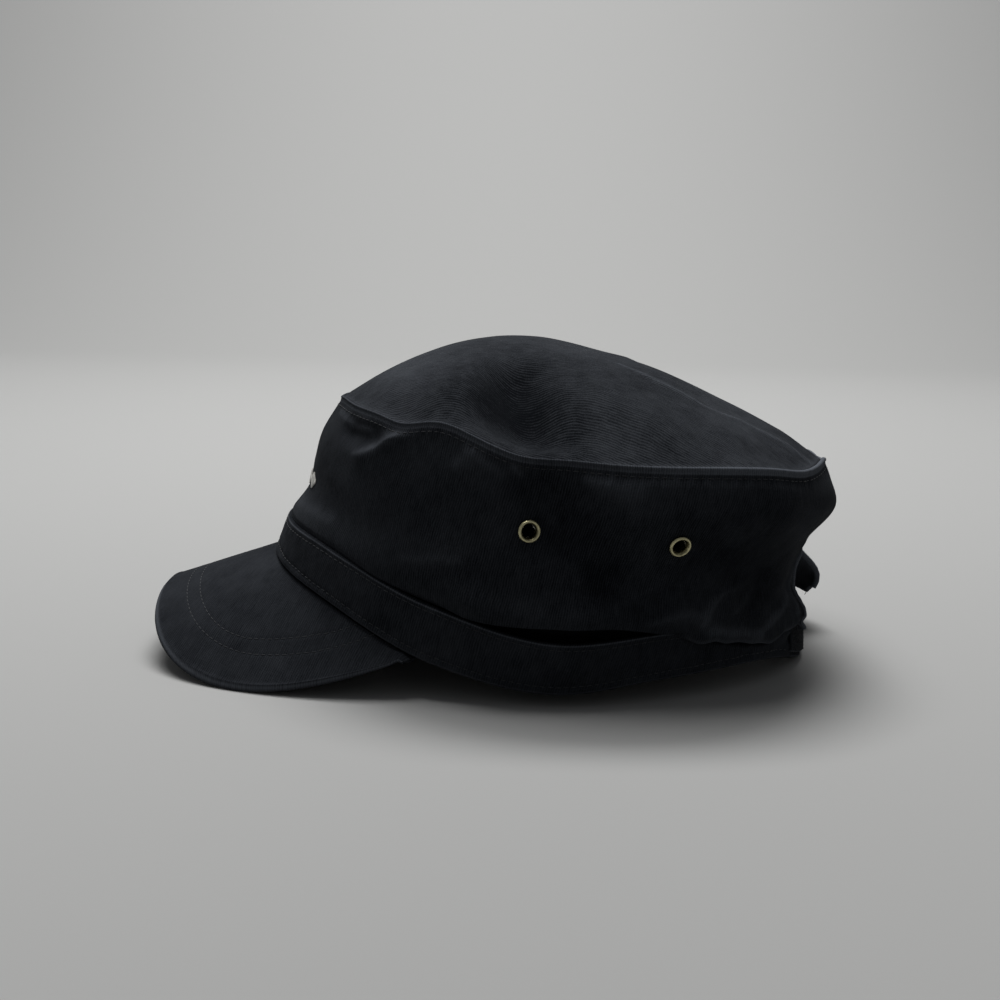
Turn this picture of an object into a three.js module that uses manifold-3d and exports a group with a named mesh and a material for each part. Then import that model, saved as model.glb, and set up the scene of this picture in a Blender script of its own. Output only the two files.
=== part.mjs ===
// Cadet cap of washed black cotton twill, lying on a table as it would by itself.
// Millimetres, +Z up. The peak points to -Y, and the wearer's left is +X.
// A turn is an angle around the cap: 0 at the front, 90 at the wearer's left, 180 at the back.
import * as THREE from 'three';
import { mergeVertices } from 'three/addons/utils/BufferGeometryUtils.js';
import Module from 'manifold-3d';

const wasm = await Module();
wasm.setup();

// Driving dimensions
const HALF_WIDTH = 80.5; // rim of the headband, from its middle line to its side
const FRONT_REACH = 106; // rim of the headband, from its widest line to the front
const BACK_REACH = 107; // rim of the headband, from its widest line to the back
const NOSE_LIFT = 39; // front of the rim above the table
const BAND_HEIGHT = 18;
const WALL_HEIGHT = 64; // side wall, from the headband to the top seam
const DOME_RISE = 37; // highest point of the top above the seam at the side
const DOME_SET_FORWARD = 12.8; // highest point of the top ahead of the widest line
const CLOTH = 1.6; // twill with its seam allowance
const BAND_CLOTH = 2; // doubled twill of the headband
const GAP = 0.3; // room left between sewn pieces
const SEAM_ROLL = 2.4; // thickness of the rolled top seam
const PEAK_TURN = 57; // the peak is sewn on as far as this turn on each side
const PEAK_REACH = 44; // peak, forward from the headband
const PEAK_HALF_WIDTH = 74.6;
const PEAK_THICKNESS = 3;
const PEAK_SLOPE = 0.35; // fall of the middle of the peak for each millimetre forward
const PEAK_BEND = 42.2; // fall of the peak from its middle to its half width
const PEAK_SQUARENESS = 2.9; // 2 is an ellipse, more is squarer
const ARCH_HALF_WIDTH = 34; // opening at the back
const ARCH_RISE = 27; // opening, from the top of the headband to its own top
const BINDING = 2.9; // thickness of the bound edge of the opening
const STRAP_WIDTH = 16;
const STRAP_CLOTH = 1.6;
const STRAP_OVERLAP = 15; // how far each end of the strap runs behind the headband
const REST_FLAT = 0.7; // the strap is flattened by this much where it lies on the table
const PATCH_WIDTH = 11.5;
const PATCH_LENGTH = 32;
const PATCH_THICKNESS = 1.1;
const EYELET_FLANGE = 8; // diameters of the brass eyelets
const EYELET_BARREL = 5.9;
const EYELET_HOLE = 4.9;
const EYELET_METAL = 0.9; // height of the rolled flange
const EYELET_SEAT = 0.65; // room between a flange and the middle of the cloth under it

// Number of steps around and along the soft surfaces
const WALL_STEPS = 96;
const TOP_STEPS = 64;
const BAND_STEPS = 84;
const PEAK_STEPS = 30;
const STRAP_STEPS = 20;
const BINDING_STEPS = 30;
const EYELET_SIDES = 16;

// Heights by turn, one row for each 30 degrees. rim is a share of NOSE_LIFT,
// band a share of BAND_HEIGHT and wall a share of WALL_HEIGHT.
const HEIGHTS = [
  { turn: 0, rim: 1.02, band: 0.78, wall: 0.71 },
  { turn: 30, rim: 0.845, band: 1.0, wall: 0.75 },
  { turn: 60, rim: 0.38, band: 1.17, wall: 0.92 },
  { turn: 90, rim: 0.145, band: 1.05, wall: 0.978 },
  { turn: 120, rim: 0.25, band: 0.95, wall: 0.914 },
  { turn: 150, rim: 0.26, band: 0.9, wall: 0.88 },
  { turn: 180, rim: 0.0, band: 0.95, wall: 0.98 },
];

// Ovals of the cap, evenly spaced up the wall from the headband to the seam. half is a share
// of HALF_WIDTH, front of FRONT_REACH, back and middle of BACK_REACH.
const RIM = { half: 1, front: 1, back: 1, middle: 0, frontSquare: 2.1, backSquare: 1.85 };
const BAND_TOP = { half: 1.01, front: 0.95, back: 0.99, middle: 0, frontSquare: 2.1, backSquare: 1.85 };
const WALL_OVALS = [
  BAND_TOP,
  { half: 1.037, front: 0.873, back: 0.955, middle: 0.03, frontSquare: 2.1, backSquare: 2.0 },
  { half: 1.056, front: 0.851, back: 0.975, middle: 0.06, frontSquare: 2.1, backSquare: 2.2 },
  { half: 1.068, front: 0.821, back: 1.045, middle: 0.1, frontSquare: 2.1, backSquare: 2.4 },
  { half: 1.073, front: 0.758, back: 0.985, middle: 0.13, frontSquare: 2.1, backSquare: 2.6 },
];

// Foot of the wall against the headband. out is how far it stands proud of the headband, as a
// share of CLOTH + GAP, hang how far it drops over it, as a share of BAND_HEIGHT, and fade how
// far up the wall this reaches, as a share of the wall's height.
const FOOT = [
  { turn: 0, out: -0.1, hang: 0.0, fade: 0.06 },
  { turn: 45, out: -0.2, hang: 0.0, fade: 0.06 },
  { turn: 62, out: -0.9, hang: 0.0, fade: 0.06 },
  { turn: 98, out: -1.1, hang: 0.0, fade: 0.06 },
  { turn: 110, out: 0.6, hang: 0.0, fade: 0.12 },
  { turn: 118, out: 1.6, hang: 0.0, fade: 0.22 },
  { turn: 130, out: 1.75, hang: 0.29, fade: 0.28 },
  { turn: 148, out: 1.75, hang: 0.5, fade: 0.28 },
  { turn: 163, out: 1.75, hang: 0.12, fade: 0.28 },
  { turn: 180, out: 1.75, hang: 0.12, fade: 0.28 },
];

// Waves in the height of the top seam. lift is a share of WALL_HEIGHT, spread in degrees.
const SEAM_WAVES = [
  { turn: 15, lift: 0.02, spread: 8 },
  { turn: 43, lift: -0.022, spread: 6 },
  { turn: 55, lift: 0.034, spread: 7 },
  { turn: 73, lift: -0.042, spread: 9 },
  { turn: 140, lift: -0.024, spread: 8 },
  { turn: 156, lift: 0.022, spread: 6 },
  { turn: -24, lift: -0.03, spread: 15 },
  { turn: -60, lift: 0.015, spread: 9 },
  { turn: -80, lift: -0.03, spread: 10 },
  { turn: -120, lift: 0.015, spread: 12 },
];

// Folds and dents of the side wall, each along a line from one place to another. Turns are in
// degrees, rises are shares of the wall's height, width and push are shares of WALL_HEIGHT,
// push is outwards, and blunt is 2 for a soft fold and less for a sharper one.
const WALL_FOLDS = [
  { turn: 44, rise: 0.97, toTurn: 36, toRise: 0.74, width: 0.07, push: 0.035, blunt: 1.5 },
  { turn: 29, rise: 0.84, toTurn: 37, toRise: 0.86, width: 0.09, push: -0.04, blunt: 2 },
  { turn: 52, rise: 0.8, toTurn: 58, toRise: 0.55, width: 0.16, push: -0.02, blunt: 2 },
  { turn: 48, rise: 0.14, toTurn: 70, toRise: 0.3, width: 0.18, push: 0.025, blunt: 2 },
  { turn: 75, rise: 0.92, toTurn: 85, toRise: 0.64, width: 0.13, push: -0.05, blunt: 1.8 },
  { turn: 86, rise: 0.6, toTurn: 108, toRise: 0.27, width: 0.17, push: -0.05, blunt: 2 },
  { turn: 70, rise: 0.12, toTurn: 104, toRise: 0.12, width: 0.09, push: 0.03, blunt: 2 },
  { turn: 94, rise: 0.86, toTurn: 134, toRise: 0.84, width: 0.15, push: 0.03, blunt: 2 },
  { turn: 121, rise: 0.4, toTurn: 140, toRise: 0.36, width: 0.18, push: -0.035, blunt: 2 },
  { turn: 130, rise: 0.02, toTurn: 136, toRise: 0.36, width: 0.07, push: 0.022, blunt: 1.5 },
  { turn: 142, rise: 0.1, toTurn: 156, toRise: 0.2, width: 0.08, push: -0.03, blunt: 2 },
  { turn: 161, rise: 0.1, toTurn: 165, toRise: 0.34, width: 0.24, push: -0.06, blunt: 2 },
  { turn: -138, rise: 0.12, toTurn: -160, toRise: 0.08, width: 0.3, push: 0.1, blunt: 2 },
  { turn: -159, rise: 0.0, toTurn: -165, toRise: 0.13, width: 0.24, push: 0.23, blunt: 2.2 },
  { turn: -35, rise: 0.9, toTurn: -42, toRise: 0.66, width: 0.08, push: 0.03, blunt: 1.6 },
  { turn: -74, rise: 0.92, toTurn: -100, toRise: 0.34, width: 0.15, push: -0.05, blunt: 2 },
  { turn: -100, rise: 0.86, toTurn: -136, toRise: 0.8, width: 0.15, push: 0.03, blunt: 2 },
  { turn: -128, rise: 0.36, toTurn: -142, toRise: 0.14, width: 0.12, push: -0.03, blunt: 2 },
];

// Folds and dents of the top, seen from above. Places, width and push are shares of HALF_WIDTH,
// with x to the wearer's left and y to the back, and push is upwards.
const TOP_FOLDS = [
  { x: 0.62, y: -0.16, toX: 0.8, toY: -0.1, width: 0.13, push: -0.075, blunt: 2 },
  { x: 0.8, y: -0.1, toX: 0.98, toY: 0.04, width: 0.12, push: -0.06, blunt: 2 },
  { x: 0.3, y: 0.38, toX: 0.46, toY: 0.49, width: 0.11, push: 0.015, blunt: 1.2 },
  { x: 0.1, y: 0.62, toX: 0.3, toY: 1.1, width: 0.26, push: 0.024, blunt: 2 },
  { x: 0.46, y: 0.49, toX: 0.76, toY: 0.79, width: 0.11, push: 0.03, blunt: 1.2 },
  { x: 0.76, y: 0.79, toX: 0.76, toY: 1.02, width: 0.1, push: 0.025, blunt: 1.2 },
  { x: 0.74, y: 0.24, toX: 0.84, toY: 0.4, width: 0.14, push: 0.03, blunt: 2 },
  { x: 0.5, y: -0.62, toX: 0.7, toY: -0.45, width: 0.18, push: 0.025, blunt: 2 },
  { x: -0.35, y: 0.42, toX: -0.72, toY: 0.86, width: 0.12, push: 0.03, blunt: 1.4 },
  { x: -0.6, y: -0.1, toX: -0.92, toY: 0.05, width: 0.14, push: -0.045, blunt: 2 },
];

// Shares of the wall's height and of the top's radius at which the surfaces have a row
const WALL_ROWS = [0, 0.035, 0.08, 0.13, 0.2, 0.31, 0.44, 0.58, 0.72, 0.87, 1];
const TOP_ROWS = [0, 0.06, 0.14, 0.25, 0.38, 0.52, 0.68, 0.84];
const PEAK_ROWS = [0, 0.15, 0.35, 0.55, 0.75, 0.9, 1];

// Places of the eyelets on the wearer's left, repeated on the right
const EYELETS = [
  { name: 'front', turn: 78.9, rise: 0.61 },
  { name: 'rear', turn: 113.4, rise: 0.57 },
];

const radians = THREE.MathUtils.degToRad;
const mix = THREE.MathUtils.lerp;

// Smooth curve through values at whole places, with the value before the first and after the
// last given by the caller
function smoothCurve(values, before, after, place) {
  const first = Math.min(Math.max(Math.floor(place), 0), values.length - 2);
  const t = place - first;
  const p0 = first > 0 ? values[first - 1] : before;
  const p1 = values[first];
  const p2 = values[first + 1];
  const p3 = first + 2 < values.length ? values[first + 2] : after;
  const bend = (2 * p0 - 5 * p1 + 4 * p2 - p3) * t * t + (3 * p1 - p0 - 3 * p2 + p3) * t * t * t;
  return 0.5 * (2 * p1 + (p2 - p0) * t + bend);
}

// Turn brought to the range -180 to 180
function wrapped(turn) {
  return turn - 360 * Math.round(turn / 360);
}

// A height column at a turn. Both sides of the cap are alike.
function heightAt(column, turn) {
  const values = HEIGHTS.map((row) => row[column]);
  const spacing = HEIGHTS[1].turn - HEIGHTS[0].turn;
  return smoothCurve(values, values[1], values.at(-2), Math.abs(wrapped(turn)) / spacing);
}

// A foot column at a turn, eased from row to row
function footAt(column, turn) {
  const away = Math.abs(wrapped(turn));
  const next = Math.max(1, FOOT.findIndex((row) => row.turn >= away));
  const share = (away - FOOT[next - 1].turn) / (FOOT[next].turn - FOOT[next - 1].turn);
  return mix(FOOT[next - 1][column], FOOT[next][column], THREE.MathUtils.smoothstep(share, 0, 1));
}

function rimHeight(turn) {
  return Math.max(0, heightAt('rim', turn) * NOSE_LIFT - REST_FLAT);
}

function bandTopHeight(turn) {
  return rimHeight(turn) + heightAt('band', turn) * BAND_HEIGHT;
}

function footHeight(turn) {
  return bandTopHeight(turn) + GAP - footAt('hang', turn) * BAND_HEIGHT;
}

function seamHeight(turn) {
  let height = bandTopHeight(turn) + heightAt('wall', turn) * WALL_HEIGHT;
  for (const wave of SEAM_WAVES) {
    const away = wrapped(turn - wave.turn) / wave.spread;
    height += wave.lift * WALL_HEIGHT * Math.exp(-away * away);
  }
  return height;
}

// Point of an oval, level with the table, moved outwards by an amount
function ovalPoint(oval, turn, outwards = 0) {
  const middle = oval.middle * BACK_REACH;
  const spot = (angle) => {
    const across = Math.sin(radians(angle));
    const forward = Math.cos(radians(angle));
    const reach = forward > 0 ? oval.front * FRONT_REACH + middle : oval.back * BACK_REACH - middle;
    const square = forward > 0 ? oval.frontSquare : oval.backSquare;
    const sum = Math.abs(across / (oval.half * HALF_WIDTH)) ** square + Math.abs(forward / reach) ** square;
    const radius = sum ** (-1 / square);
    return new THREE.Vector3(radius * across, middle - radius * forward, 0);
  };
  const along = spot(turn + 0.5).sub(spot(turn - 0.5)).normalize();
  return spot(turn).add(new THREE.Vector3(along.y, -along.x, 0).multiplyScalar(outwards));
}

// Oval of the wall at a share of its height above the headband
function wallOval(share) {
  const oval = {};
  for (const key of Object.keys(BAND_TOP)) {
    const values = WALL_OVALS.map((row) => row[key]);
    const before = 2 * values[0] - values[1];
    const after = 2 * values.at(-1) - values.at(-2);
    oval[key] = smoothCurve(values, before, after, share * (WALL_OVALS.length - 1));
  }
  return oval;
}

// Push of one fold at a distance from its line
function foldPush(fold, dx, dy, lineX, lineY, scale) {
  const length = lineX * lineX + lineY * lineY;
  const share = THREE.MathUtils.clamp((dx * lineX + dy * lineY) / length, 0, 1);
  const away = Math.hypot(dx - share * lineX, dy - share * lineY);
  return fold.push * scale * Math.exp(-((away / (fold.width * scale)) ** fold.blunt));
}

function wallPush(turn, rise) {
  const arc = radians(HALF_WIDTH + (FRONT_REACH + BACK_REACH) / 2) / 2;
  let push = 0;
  for (const fold of WALL_FOLDS) {
    const dx = wrapped(turn - fold.turn) * arc;
    const dy = (rise - fold.rise) * WALL_HEIGHT;
    const lineX = (fold.toTurn - fold.turn) * arc;
    const lineY = (fold.toRise - fold.rise) * WALL_HEIGHT;
    push += foldPush(fold, dx, dy, lineX, lineY, WALL_HEIGHT);
  }
  return push;
}

// Outer face of the side wall, from its foot at rise 0 to the seam at rise 1. Dents fade out
// towards the headband, and where the wall hangs over the headband it follows its outline.
function wallPoint(turn, rise) {
  const ledge = bandTopHeight(turn) + GAP;
  const top = seamHeight(turn) - SEAM_ROLL / 2;
  const height = mix(footHeight(turn), top, rise);
  const above = (height - ledge) / (top - ledge);
  const foot = footAt('out', turn) * (CLOTH + GAP) * Math.exp(-((rise / footAt('fade', turn)) ** 2));
  const push = wallPush(turn, rise) * THREE.MathUtils.smoothstep(1 - rise, 0, 0.08);
  const out = foot + Math.max(push, push * THREE.MathUtils.smoothstep(above, 0.02, 0.2));
  const outline = above > 0
    ? ovalPoint(wallOval(above), turn, out)
    : bandPoint(turn, (height - rimHeight(turn)) / (bandTopHeight(turn) + GAP - rimHeight(turn)), out);
  return outline.setZ(height);
}

// Upper face of the top, from the seam at inwards 0 to the highest point at inwards 1
function topPoint(turn, inwards) {
  const edge = ovalPoint(WALL_OVALS.at(-1), turn, -(CLOTH / 2 + SEAM_ROLL / 2 + GAP));
  const forward = Math.cos(radians(turn));
  const power = mix(2.2, forward > 0 ? 1.92 : 1.52, forward * forward);
  const low = seamHeight(turn) + CLOTH / 4;
  const high = bandTopHeight(90) + heightAt('wall', 90) * WALL_HEIGHT + DOME_RISE;
  const x = edge.x * (1 - inwards);
  const y = edge.y * (1 - inwards) - DOME_SET_FORWARD * inwards;
  let z = mix(low, high, 1 - (1 - inwards) ** power);
  const settle = THREE.MathUtils.smoothstep(inwards, 0, 0.14);
  for (const fold of TOP_FOLDS) {
    const dx = x - fold.x * HALF_WIDTH;
    const dy = y - fold.y * HALF_WIDTH;
    const lineX = (fold.toX - fold.x) * HALF_WIDTH;
    const lineY = (fold.toY - fold.y) * HALF_WIDTH;
    z += settle * foldPush(fold, dx, dy, lineX, lineY, HALF_WIDTH);
  }
  return new THREE.Vector3(x, y, z);
}

// Outer face of the headband, from the rim at rise 0 to its top edge at rise 1
function bandPoint(turn, rise, outwards = 0) {
  const point = ovalPoint(RIM, turn, outwards).lerp(ovalPoint(BAND_TOP, turn, outwards), rise);
  point.z = mix(rimHeight(turn), bandTopHeight(turn), rise);
  return point;
}

// Normal of a surface, from small steps to each side
function normalOf(surface, u, v, stepU, stepV) {
  const alongU = surface(u + stepU, v).sub(surface(u - stepU, v));
  const alongV = surface(u, v + stepV).sub(surface(u, v - stepV));
  return alongU.cross(alongV).normalize();
}

// Turn of the rim, at the back, where it is a given distance from the middle line
function backTurnAt(distance) {
  let low = 90;
  let high = 180;
  for (let i = 0; i < 40; i += 1) {
    const middle = (low + high) / 2;
    if (ovalPoint(RIM, middle).x > distance) low = middle;
    else high = middle;
  }
  return low;
}

// Turn and rise of the wall, at the back, at a given place seen from behind
function backWallAt(x, z) {
  let turn = backTurnAt(Math.abs(x)) * (x < 0 ? -1 : 1);
  let rise = 0.2;
  for (let i = 0; i < 40; i += 1) {
    const point = wallPoint(turn, rise);
    turn += THREE.MathUtils.radToDeg((point.x - x) / BACK_REACH);
    rise += (z - point.z) / (seamHeight(turn) - footHeight(turn));
  }
  return { turn, rise };
}

// Closed geometry from triangles of points, with its faces pointing out
function closedGeometry(triangles) {
  let volume = 0;
  const kept = triangles.filter(([a, b, c]) => {
    const tiny = 1e-5;
    return a.distanceTo(b) > tiny && b.distanceTo(c) > tiny && c.distanceTo(a) > tiny;
  });
  for (const [a, b, c] of kept) volume += a.dot(b.clone().cross(c));
  const ordered = volume < 0 ? kept.map(([a, b, c]) => [a, c, b]) : kept;
  const geometry = new THREE.BufferGeometry().setFromPoints(ordered.flat());
  return mergeVertices(geometry, 1e-4);
}

// Solid through closed sections of equally many points. The sections go round and meet, or the
// first and last are closed by strips between their two sides.
function loft(sections, meets) {
  const triangles = [];
  const quad = (a, b, c, d) => triangles.push([a, b, c], [a, c, d]);
  const count = sections[0].length;
  for (let i = 0; i < sections.length - (meets ? 0 : 1); i += 1) {
    const here = sections[i];
    const next = sections[(i + 1) % sections.length];
    for (let k = 0; k < count; k += 1) {
      const other = (k + 1) % count;
      quad(here[k], next[k], next[other], here[other]);
    }
  }
  if (!meets) {
    const first = sections[0];
    const last = sections.at(-1);
    for (let k = 0; k < count / 2 - 1; k += 1) {
      quad(first[k], first[k + 1], first[count - 2 - k], first[count - 1 - k]);
      quad(last[count - 1 - k], last[count - 2 - k], last[k + 1], last[k]);
    }
  }
  return closedGeometry(triangles);
}

function toSolid(geometry) {
  const bare = geometry.clone();
  bare.deleteAttribute('normal');
  bare.deleteAttribute('uv');
  const merged = mergeVertices(bare, 1e-4);
  const vertProperties = merged.attributes.position.array;
  const triVerts = Uint32Array.from(merged.index.array);
  return new wasm.Manifold(new wasm.Mesh({ numProp: 3, vertProperties, triVerts }));
}

function toGeometry(solid) {
  const mesh = solid.getMesh();
  const geometry = new THREE.BufferGeometry();
  geometry.setAttribute('position', new THREE.BufferAttribute(mesh.vertProperties, 3));
  geometry.setIndex(new THREE.BufferAttribute(mesh.triVerts, 1));
  return geometry;
}

// Places along an equal division of a range, both ends taken
function steps(from, to, count) {
  return Array.from({ length: count + 1 }, (_, i) => mix(from, to, i / count));
}

const turnsRound = (count) => steps(0, 360, count).slice(0, -1);

// Rounded section across a piece, in two directions from its centre
function roundSection(centre, sideways, upwards, halfWidth, halfHeight, count) {
  return Array.from({ length: count }, (_, k) => {
    const angle = (2 * Math.PI * (k + 0.5)) / count;
    return centre.clone()
      .addScaledVector(sideways, halfWidth * Math.cos(angle))
      .addScaledVector(upwards, halfHeight * Math.sin(angle));
  });
}

// Frame of an eyelet: the middle of its hole on the outer face, and the way it looks
function eyeletFrame(place, side) {
  const turn = side * place.turn;
  const normal = normalOf(wallPoint, turn, place.rise, 1, 0.02);
  return { point: wallPoint(turn, place.rise), normal };
}

// Prism behind the cap in the outline of the arched opening
function archCutter() {
  const foot = bandTopHeight(180);
  const below = foot + BAND_HEIGHT;
  const outline = new THREE.Shape();
  outline.moveTo(-ARCH_HALF_WIDTH, foot - below);
  outline.lineTo(ARCH_HALF_WIDTH, foot - below);
  outline.lineTo(ARCH_HALF_WIDTH, foot);
  outline.absellipse(0, foot, ARCH_HALF_WIDTH, ARCH_RISE, 0, Math.PI);
  const cutter = new THREE.ExtrudeGeometry(outline, { depth: BACK_REACH, bevelEnabled: false, curveSegments: 24 });
  return cutter.rotateX(Math.PI / 2).translate(0, 1.5 * BACK_REACH, 0);
}

function makeSideWall() {
  const sections = turnsRound(WALL_STEPS).map((turn) => {
    const outer = WALL_ROWS.map((rise) => wallPoint(turn, rise));
    const inner = WALL_ROWS.map((rise, k) => {
      const normal = normalOf(wallPoint, turn, rise, 1, 0.02);
      if (k === 0 || k === WALL_ROWS.length - 1) normal.setZ(0).normalize();
      return outer[k].clone().addScaledVector(normal, -CLOTH);
    });
    const sideways = outer.at(-1).clone().sub(inner.at(-1)).normalize();
    const centre = outer.at(-1).clone().add(inner.at(-1)).multiplyScalar(0.5);
    centre.z += SEAM_ROLL / 2;
    const roll = [20, 90, 160].map((angle) => centre.clone()
      .addScaledVector(sideways, (SEAM_ROLL / 2) * Math.cos(radians(angle)))
      .add(new THREE.Vector3(0, 0, (SEAM_ROLL / 2) * Math.sin(radians(angle)))));
    return [...outer, ...roll, ...inner.reverse()];
  });
  let wall = toSolid(loft(sections, true)).subtract(toSolid(archCutter()));
  for (const place of EYELETS) {
    for (const side of [1, -1]) {
      const { point, normal } = eyeletFrame(place, side);
      const radius = EYELET_BARREL / 2 + GAP;
      const drill = new THREE.CylinderGeometry(radius, radius, 8 * CLOTH, EYELET_SIDES);
      drill.applyQuaternion(new THREE.Quaternion().setFromUnitVectors(new THREE.Vector3(0, 1, 0), normal));
      wall = wall.subtract(toSolid(drill.translate(point.x, point.y, point.z)));
    }
  }
  return toGeometry(wall);
}

function makeTopPanel() {
  const sections = turnsRound(TOP_STEPS).map((turn) => {
    const normals = TOP_ROWS.map((inwards) => normalOf(topPoint, turn, Math.max(inwards, 0.03), 1, 0.02));
    const upper = TOP_ROWS.map((inwards) => topPoint(turn, inwards));
    const lower = upper.map((point, k) => point.clone().addScaledVector(normals[k], -CLOTH));
    const peak = topPoint(0, 1);
    const under = peak.clone().setZ(peak.z - CLOTH);
    return [...upper, peak, under, ...lower.reverse()];
  });
  return loft(sections, true);
}

function makeHeadband() {
  const end = backTurnAt(ARCH_HALF_WIDTH + BINDING / 2);
  const sections = steps(-end, end, BAND_STEPS).map((turn) => {
    const outer = [0, 0.5, 1].map((rise) => bandPoint(turn, rise));
    const inner = [1, 0.5, 0].map((rise) => bandPoint(turn, rise, -BAND_CLOTH));
    return [...outer, ...inner];
  });
  return loft(sections, false);
}

// Middle face of the peak, from the headband at along 0 to its free edge at along 1
function peakPoint(across, along) {
  const end = ovalPoint(RIM, PEAK_TURN);
  const turn = across * PEAK_TURN;
  const sewn = ovalPoint(RIM, turn, -BAND_CLOTH);
  const swing = (across * Math.PI) / 2;
  const reach = FRONT_REACH + PEAK_REACH + end.y;
  const sum = Math.abs(Math.sin(swing) / PEAK_HALF_WIDTH) ** PEAK_SQUARENESS
    + Math.abs(Math.cos(swing) / reach) ** PEAK_SQUARENESS;
  const radius = sum ** (-1 / PEAK_SQUARENESS);
  const free = new THREE.Vector3(radius * Math.sin(swing), end.y - radius * Math.cos(swing), 0);
  const fall = (point) => {
    const sideways = point.x / PEAK_HALF_WIDTH;
    return rimHeight(0) - PEAK_SLOPE * (-FRONT_REACH - point.y) - PEAK_BEND * sideways * sideways;
  };
  const point = sewn.clone().lerp(free, along);
  const seat = rimHeight(turn) - fall(sewn);
  const corner = THREE.MathUtils.smoothstep(Math.abs(across), 0.93, 1);
  const height = mix(fall(point) + seat * (1 - along) ** 2, rimHeight(turn), corner);
  return point.setZ(height - GAP - PEAK_THICKNESS / 2);
}

function makePeak() {
  const sections = steps(-1, 1, PEAK_STEPS).map((across) => {
    const taper = mix(1, 0.45, THREE.MathUtils.smoothstep(Math.abs(across), 0.75, 1));
    const half = (taper * PEAK_THICKNESS) / 2;
    const middle = PEAK_ROWS.map((along) => peakPoint(across, along));
    const upwards = PEAK_ROWS.map((along, k) => {
      const level = new THREE.Vector3(0, 0, 1);
      if (k === 0) return level;
      const normal = normalOf(peakPoint, THREE.MathUtils.clamp(across, -0.97, 0.97), along, 0.02, 0.02);
      return normal.z < 0 ? normal.negate() : normal;
    });
    const top = middle.map((point, k) => point.clone().addScaledVector(upwards[k], half));
    const under = middle.map((point, k) => point.clone().addScaledVector(upwards[k], -half));
    const edge = peakPoint(across, 1).sub(peakPoint(across, 0.9)).normalize();
    top.at(-1).addScaledVector(edge, -half / 2);
    under.at(-1).addScaledVector(edge, -half / 2);
    const lip = middle.at(-1).clone().addScaledVector(edge, half / 3);
    const upperLip = lip.clone().addScaledVector(upwards.at(-1), half / 2);
    const lowerLip = lip.clone().addScaledVector(upwards.at(-1), -half / 2);
    return [...top, upperLip, lowerLip, ...under.reverse()];
  });
  return loft(sections, false);
}

// Curved plate that follows the outline of the headband, between two turns and two heights
// above the rim
function backPlate(from, to, low, high, outwards, thickness, count) {
  const sections = steps(from, to, count).map((turn) => {
    const bandHeight = bandTopHeight(turn) - rimHeight(turn);
    const place = (height, out) => bandPoint(turn, height / bandHeight, out);
    const inner = outwards - thickness;
    return [place(low, outwards), place(high, outwards), place(high, inner), place(low, inner)];
  });
  return loft(sections, false);
}

function makeBackStrap() {
  const end = backTurnAt(ARCH_HALF_WIDTH + STRAP_OVERLAP);
  const outwards = -(BAND_CLOTH + GAP);
  return backPlate(end, 360 - end, 0, STRAP_WIDTH, outwards, STRAP_CLOTH, STRAP_STEPS);
}

function makeLoopPatch() {
  const start = backTurnAt(ARCH_HALF_WIDTH - 4 * GAP);
  const end = start + THREE.MathUtils.radToDeg(PATCH_LENGTH / BACK_REACH);
  const low = (STRAP_WIDTH - PATCH_WIDTH) / 2;
  const outwards = PATCH_THICKNESS - BAND_CLOTH;
  return backPlate(start, end, low, low + PATCH_WIDTH, outwards, PATCH_THICKNESS, STRAP_STEPS / 2);
}

function makeArchBinding() {
  const level = bandTopHeight(180);
  const foot = footHeight(backTurnAt(ARCH_HALF_WIDTH)) + BINDING / 2;
  const inset = BINDING / 2 + GAP;
  const arc = (angle, out) => ({
    x: (ARCH_HALF_WIDTH - out) * Math.cos(angle),
    z: level + (ARCH_RISE - out) * Math.sin(angle),
  });
  const places = steps(0, Math.PI, BINDING_STEPS).map((angle) => [arc(angle, inset), arc(angle, 0)]);
  for (const side of [1, -1]) {
    const leg = [{ x: side * (ARCH_HALF_WIDTH - inset), z: foot }, { x: side * ARCH_HALF_WIDTH, z: foot }];
    if (side > 0) places.unshift(leg);
    else places.push(leg);
  }
  const sections = places.map(([inside, edge]) => {
    const { turn, rise } = backWallAt(inside.x, inside.z);
    const normal = normalOf(wallPoint, turn, rise, 1, 0.02);
    const centre = wallPoint(turn, rise).addScaledVector(normal, -CLOTH / 2);
    const sideways = new THREE.Vector3(edge.x - inside.x, 0, edge.z - inside.z);
    sideways.addScaledVector(normal, -sideways.dot(normal)).normalize();
    return roundSection(centre, sideways, normal, BINDING / 2, BINDING / 2, 8);
  });
  return loft(sections, false);
}

// Brass eyelet along +Y, with its outer flange above the cloth and its washer below
function makeEyelet() {
  const hole = EYELET_HOLE / 2;
  const barrel = EYELET_BARREL / 2;
  const flange = EYELET_FLANGE / 2;
  const top = EYELET_SEAT;
  const bottom = -CLOTH - EYELET_SEAT;
  const profile = [
    [hole, top + EYELET_METAL / 2],
    [hole, bottom - EYELET_METAL / 2],
    [flange, bottom - EYELET_METAL / 2],
    [flange, bottom],
    [barrel, bottom],
    [barrel, top],
    [flange, top],
    [flange, top + EYELET_METAL / 3],
    [mix(hole, flange, 0.7), top + EYELET_METAL],
    [mix(hole, flange, 0.3), top + EYELET_METAL],
    [hole, top + EYELET_METAL / 2],
  ];
  const lathe = new THREE.LatheGeometry(profile.map(([r, y]) => new THREE.Vector2(r, y)), EYELET_SIDES);
  return toGeometry(toSolid(lathe));
}

const twill = (color) => new THREE.MeshStandardMaterial({ color, roughness: 0.95, metalness: 0 });
const brass = new THREE.MeshStandardMaterial({ color: 0x9c8c62, roughness: 0.38, metalness: 1 });

const cap = new THREE.Group();

function add(name, geometry, material) {
  const mesh = new THREE.Mesh(geometry, material);
  mesh.name = name;
  cap.add(mesh);
  return mesh;
}

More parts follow.
